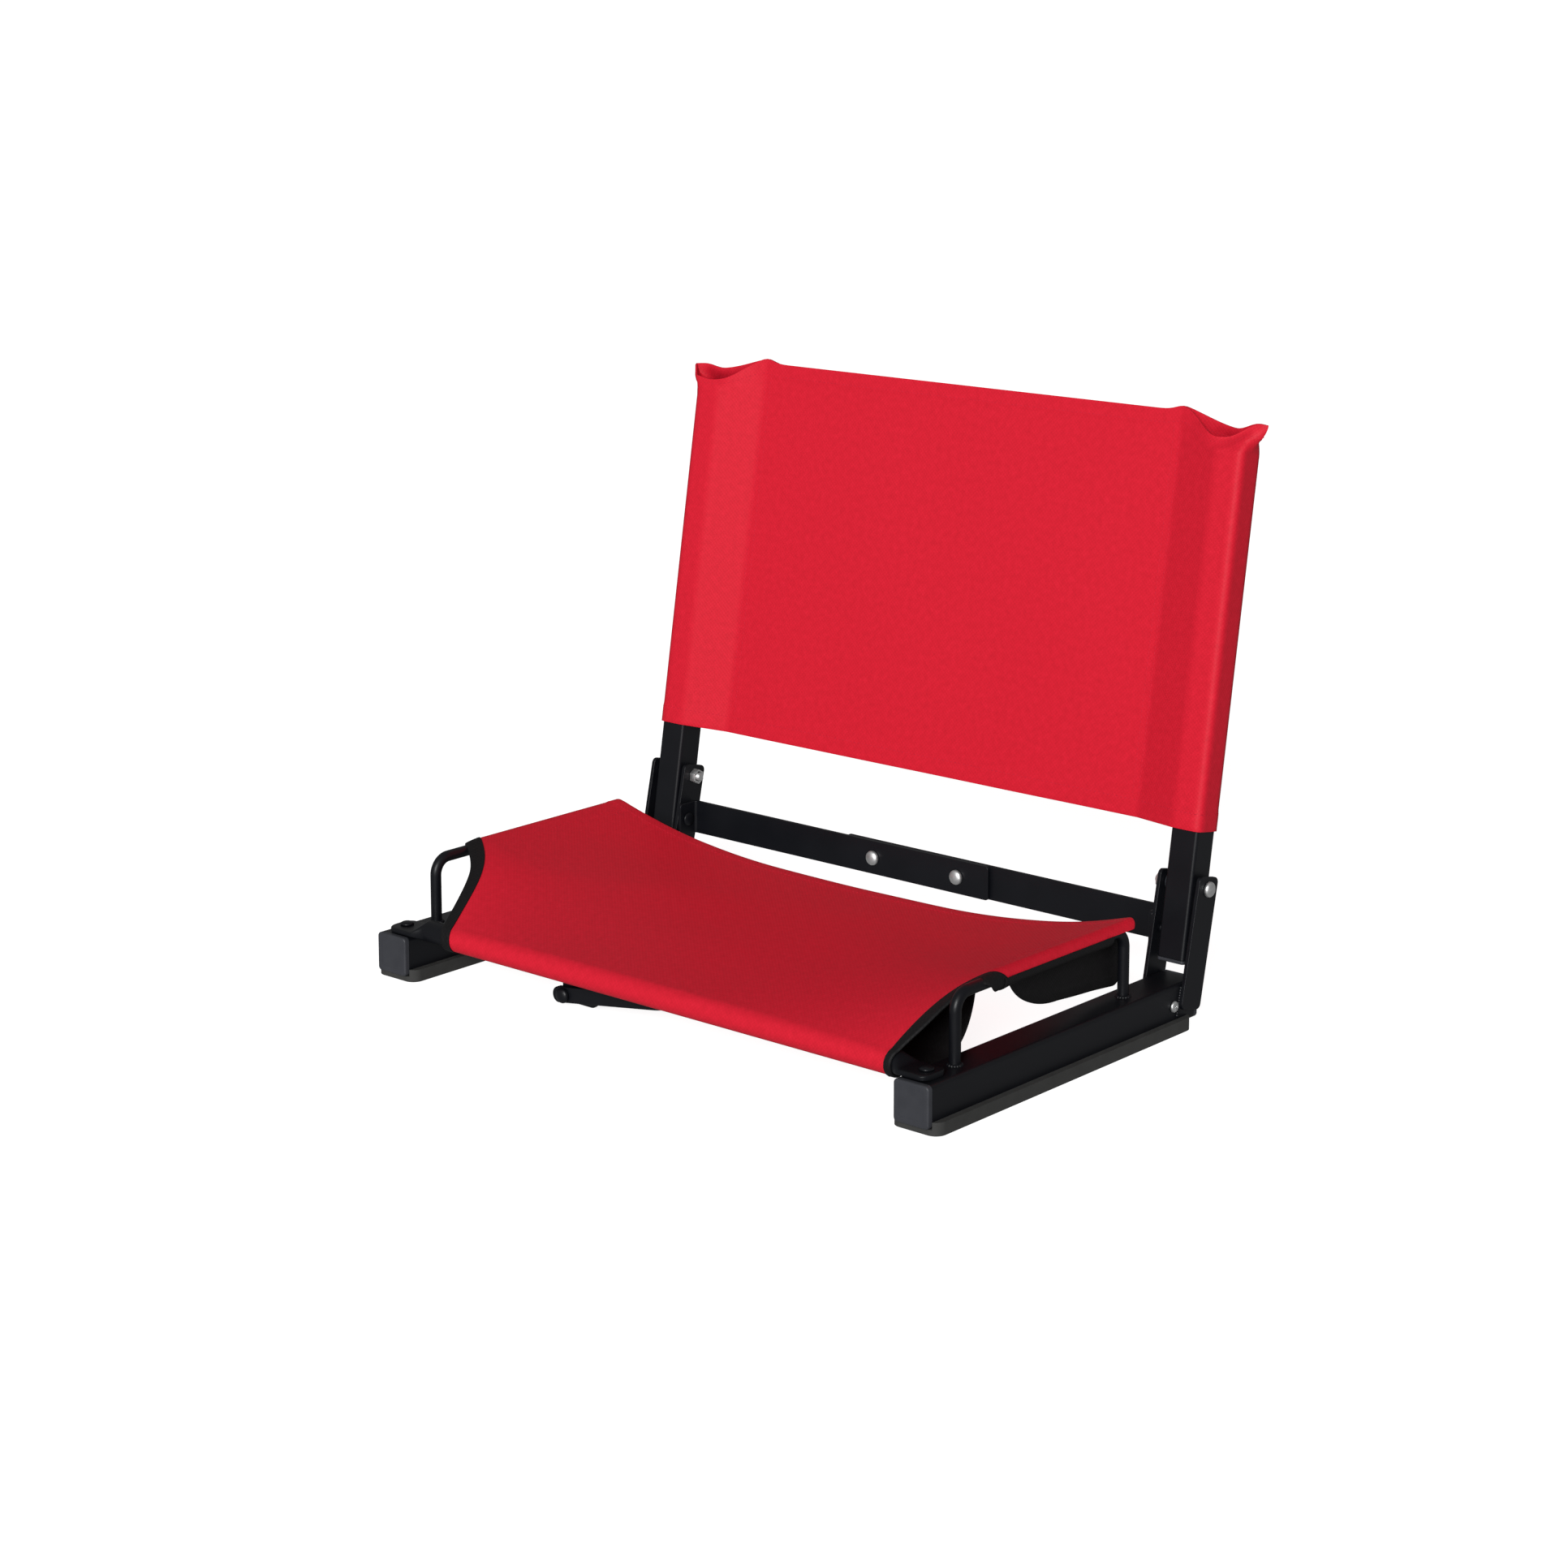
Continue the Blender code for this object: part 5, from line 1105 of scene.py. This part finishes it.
def addSideCloth(name, sewingName, cloth, place, sign, node, line, shaped=False):
    def onSide(across, along):
        return place(across, along, sign)

    piece = clothPiece(name, cloth, onSide, "black_cloth", node)
    seam = addSewing(sewingName, onSide, [(line, cloth.get("hem", cloth["thick"]) / 2)], "black_cloth")
    area = flatArea(cloth, onSide) if shaped else None


def tapePlace(across, along, sign):    # across runs above the cut edge, round it and back below
    rolled, flat = tape["rollRows"], tape["flatColumns"]
    if along < rolled:
        v = tuckV * (1 - along / rolled)
    else:
        v = seat["notchLength"] * ((along - rolled) / (1 - rolled)) ** tape["rowPower"]
    s, slope = notchEdge(v, sign)
    steep = hypot(1, slope)
    half = tapeWidth(v, sign) - tape["edge"]
    if across < flat:
        w, lift = half * across / flat, tape["top"]
    elif across > 1 - flat:
        w, lift = half * (1 - across) / flat, tape["bottom"]
    else:
        turn = pi * (across - flat) / (1 - 2 * flat)
        w = half + sin(turn) * tape["edge"]
        lift = mix(tape["bottom"], tape["top"], (1 + cos(turn)) / 2)
    w -= tape["inset"]
    s = min(s + w / steep, wrapEnd)
    spot = seatSpot(sign * s, v - w * slope / steep, lift)
    return spot, (across * 2 * tape["width"], mix(tuckV, tape["weaveRun"], along)), False


for side, low, sign in sides:
    edge = [notchEdge(v, sign)[0] for v in span(0, seat["notchLength"], tape["edgeSteps"])]
    addSideCloth(f"cornerTape{side}", f"tapeSewing{side}", tape, tapePlace, sign, f"seat_binding_{low}",
                 [(tape["stitches"], t) for t in span(0.01, 0.98)])

flap = {
    "front": 110 * mm, "rear": 236 * mm, "lowFront": 44.1 * mm, "lowRear": 38.5 * mm, "curve": 55 * mm,
    "rearRound": 9 * mm, "x": 231.7 * mm, "below": 1.2 * mm, "least": 0.5 * mm, "thick": 0.9 * mm,
    "hem": 1.5 * mm, "hemWidth": 8 * mm, "sideHem": 0.8, "curl": 1.6 * mm, "curlIn": 0.3,
    "rippleSize": (34 * mm, 60 * mm), "seed": 5.3, "stitches": 0.17, "columns": 60, "rows": 24,
}
flapTop = sagHeight(flap["x"]) - flap["below"]
flapLength = flap["rear"] - flap["front"]


def flapPlace(across, along, sign):
    ahead = flapLength * across
    y = flap["front"] + ahead
    behind = flap["rear"] - y
    straight = max(ahead - flap["curve"], 0.0) / (flapLength - flap["curve"])
    edge = mix(flap["lowFront"], flap["lowRear"], straight)
    past = max(1 - ahead / flap["curve"], 0.0)
    edge = mix(edge, flapTop - flap["least"], 1 - sqrt(1 - past * past))    # long curve up to the front
    radius = flap["rearRound"]
    if behind < radius:
        edge += radius - sqrt(max(radius ** 2 - (radius - behind) ** 2, 0.0))
    z = mix(edge, flapTop, along)
    x = flap["x"] + flap["curl"] * (1 - along) * (clothWave(flap, y, z, sign) - flap["curlIn"])
    hemmed = z < edge + flap["hemWidth"] or min(ahead, behind) < flap["sideHem"] * flap["hemWidth"]
    return Vector((sign * x, setback(y), z)), (y, z), hemmed


for side, low, sign in sides:
    addSideCloth(f"sideFlap{side}", f"flapSewing{side}", flap, flapPlace, sign, f"seat_flap_{low}",
                 [(t, flap["stitches"]) for t in span(0.04, 0.96)],
                 True)

lining = {    # black lower half of the sleeve round a rod
    "front": 88 * mm, "rear": 209 * mm, "begin": radians(78), "end": radians(215),
    "flare": 0.8 * mm, "flareRun": 12 * mm, "air": 0.15 * mm, "thick": 0.6 * mm,
    "stitches": 0.14, "columns": 44, "rows": 14,
}
lining["radius"] = seat["rodRadius"] + seat["thick"] / 2 + lining["thick"] / 2 + lining["air"]


def liningPlace(across, along, sign):
    y = mix(lining["front"], lining["rear"], across)
    turn = mix(lining["begin"], lining["end"], along)
    flare = 1 - smoothStep((y - lining["front"]) / lining["flareRun"])    # over the tape
    radius = lining["radius"] + lining["flare"] * flare
    x = rail["x"] + radius * sin(turn)
    spot = Vector((sign * x, setback(y), rod["height"] + radius * cos(turn)))
    return spot, (y, lining["radius"] * turn), False


for side, low, sign in sides:
    addSideCloth(f"rodLining{side}", f"liningSewing{side}", lining, liningPlace, sign, None,
                 [(t, lining["stitches"]) for t in span(0.01, 0.99)])

under = {
    "half": 212 * mm, "rear": 103 * mm, "cut": 112 * mm, "turn": 24 * mm, "rise": 5 * mm, "leave": 12 * mm,
    "start": 0.3 * mm, "below": 1.6 * mm, "looseFrom": 150 * mm, "looseRun": 45 * mm, "looseTurn": 8 * mm,
    "droop": 3.9 * mm, "slack": 0.8 * mm, "slackMean": 0.2, "rippleSize": (55 * mm, 40 * mm), "seed": 2.2,
    "slot": 2 * mm, "thick": 0.9 * mm, "hem": 1.4 * mm, "columns": 212, "rows": 60,
}


def underPlace(across, along):
    x = under["half"] * (2 * across - 1)
    start = seatPoint(x, tuckV - under["start"])
    endY = setback(under["rear"])
    share = (1 - cos(pi * along)) / 2
    y = mix(start.y, endY, share)
    loose = smoothStep((abs(x) - under["looseFrom"]) / under["looseRun"])    # the ends hang lower
    lift = mix(under["rise"], -under["droop"], loose)    # the middle is clear of the hook
    edge = start.z + lift * smoothStep((y - start.y) / under["leave"])
    reach = under["turn"] + under["looseTurn"] * loose
    turn = clamp((y - endY + reach) / reach)
    seam = seatPoint(x, under["rear"]).z - under["below"]
    z = mix(edge, seam, 1 - sqrt(1 - turn * turn))
    wave = clothWave(under, x, y) + under["slackMean"]
    slack = under["slack"] * sin(pi * share) * wave * (1 - turn)
    return Vector((x, y, z - slack)), (x, y), False


def outsideSlot(spot):    # the hook's bracket passes through a slot
    left = hook["x"] - bracket["edge"] - under["slot"]
    right = left + bracket["width"] + 2 * under["slot"]
    front, rear = setback(bracket["y"]) - under["slot"], bracket["rear"] + under["slot"]
    return not (spot.z < bar["z"] and left < spot.x < right and front < spot.y < rear)


underCloth = clothPiece("seatUnderlay", under, underPlace, "black_cloth", "seat_underlay", keep=outsideSlot)
print("tapes, flaps and underlay made")

studio = {
    "floor": "a8a8a7", "glow": 0.9, "floorSize": 60.0, "floorZ": -0.2 * mm, "sky": 0.22,
    "key": {"strength": 2.92, "turn": 26.4, "rise": 22.7, "soft": 20},
    "bounce": {"strength": 0.98, "turn": 26.4, "rise": -22, "soft": 80},    # light thrown up by the table
    "rearFill": {"strength": 1.6, "turn": 205, "rise": -14, "soft": 16},
}
shape = bmesh.new()
bmesh.ops.create_grid(shape, x_segments=1, y_segments=1, size=studio["floorSize"])
slide(shape, (0, 0, studio["floorZ"]))
floor = addObject("floor", toMesh("floor", shape))
# backlit white acrylic table: glows evenly, so shadows on it stay faint
floor.data.materials.append(newFinish("backlitAcrylic", {
    "Base Color": hexColor(studio["floor"]), "Roughness": 0.9, "Specular IOR Level": 0.1,
    "Emission Color": (1, 1, 1, 1), "Emission Strength": studio["glow"],
})[0])
floor.visible_diffuse = False    # the table doesn't light the chair from below
floor.visible_glossy = False
floor.visible_shadow = False

world = bpy.data.worlds.new("softStudio")
world.use_nodes = True
sky = world.node_tree.nodes["Background"].inputs
sky["Color"].default_value = (1, 1, 1, 1)
sky["Strength"].default_value = studio["sky"]
bpy.context.scene.world = world
for name in ("key", "bounce", "rearFill"):
    sun = bpy.data.lights.new(name, "SUN")
    sun.energy = studio[name]["strength"]
    sun.angle = radians(studio[name]["soft"])
    lamp = addObject(name, sun)
    lamp.visible_glossy = name == "key"    # only the key leaves highlights
    lamp.rotation_euler = (radians(90 - studio[name]["rise"]), 0, radians(studio[name]["turn"]))

view = {
    "place": (1.5251, -1.7900, 0.7604), "tilt": 80.08, "turn": 40.9, "sensor": 36.0, "lens": 78.476,
    "shift": (0.0008, -0.1768),
}
lens = bpy.data.cameras.new("camera")
lens.sensor_width = view["sensor"]
lens.lens = view["lens"]
lens.shift_x, lens.shift_y = view["shift"]
camera = addObject("camera", lens)
camera.location = view["place"]
camera.rotation_euler = (radians(view["tilt"]), 0, radians(view["turn"]))
bpy.context.scene.camera = camera
bpy.context.scene.view_settings.view_transform = "Standard"    # the photo's own plain tone curve
print("studio set")
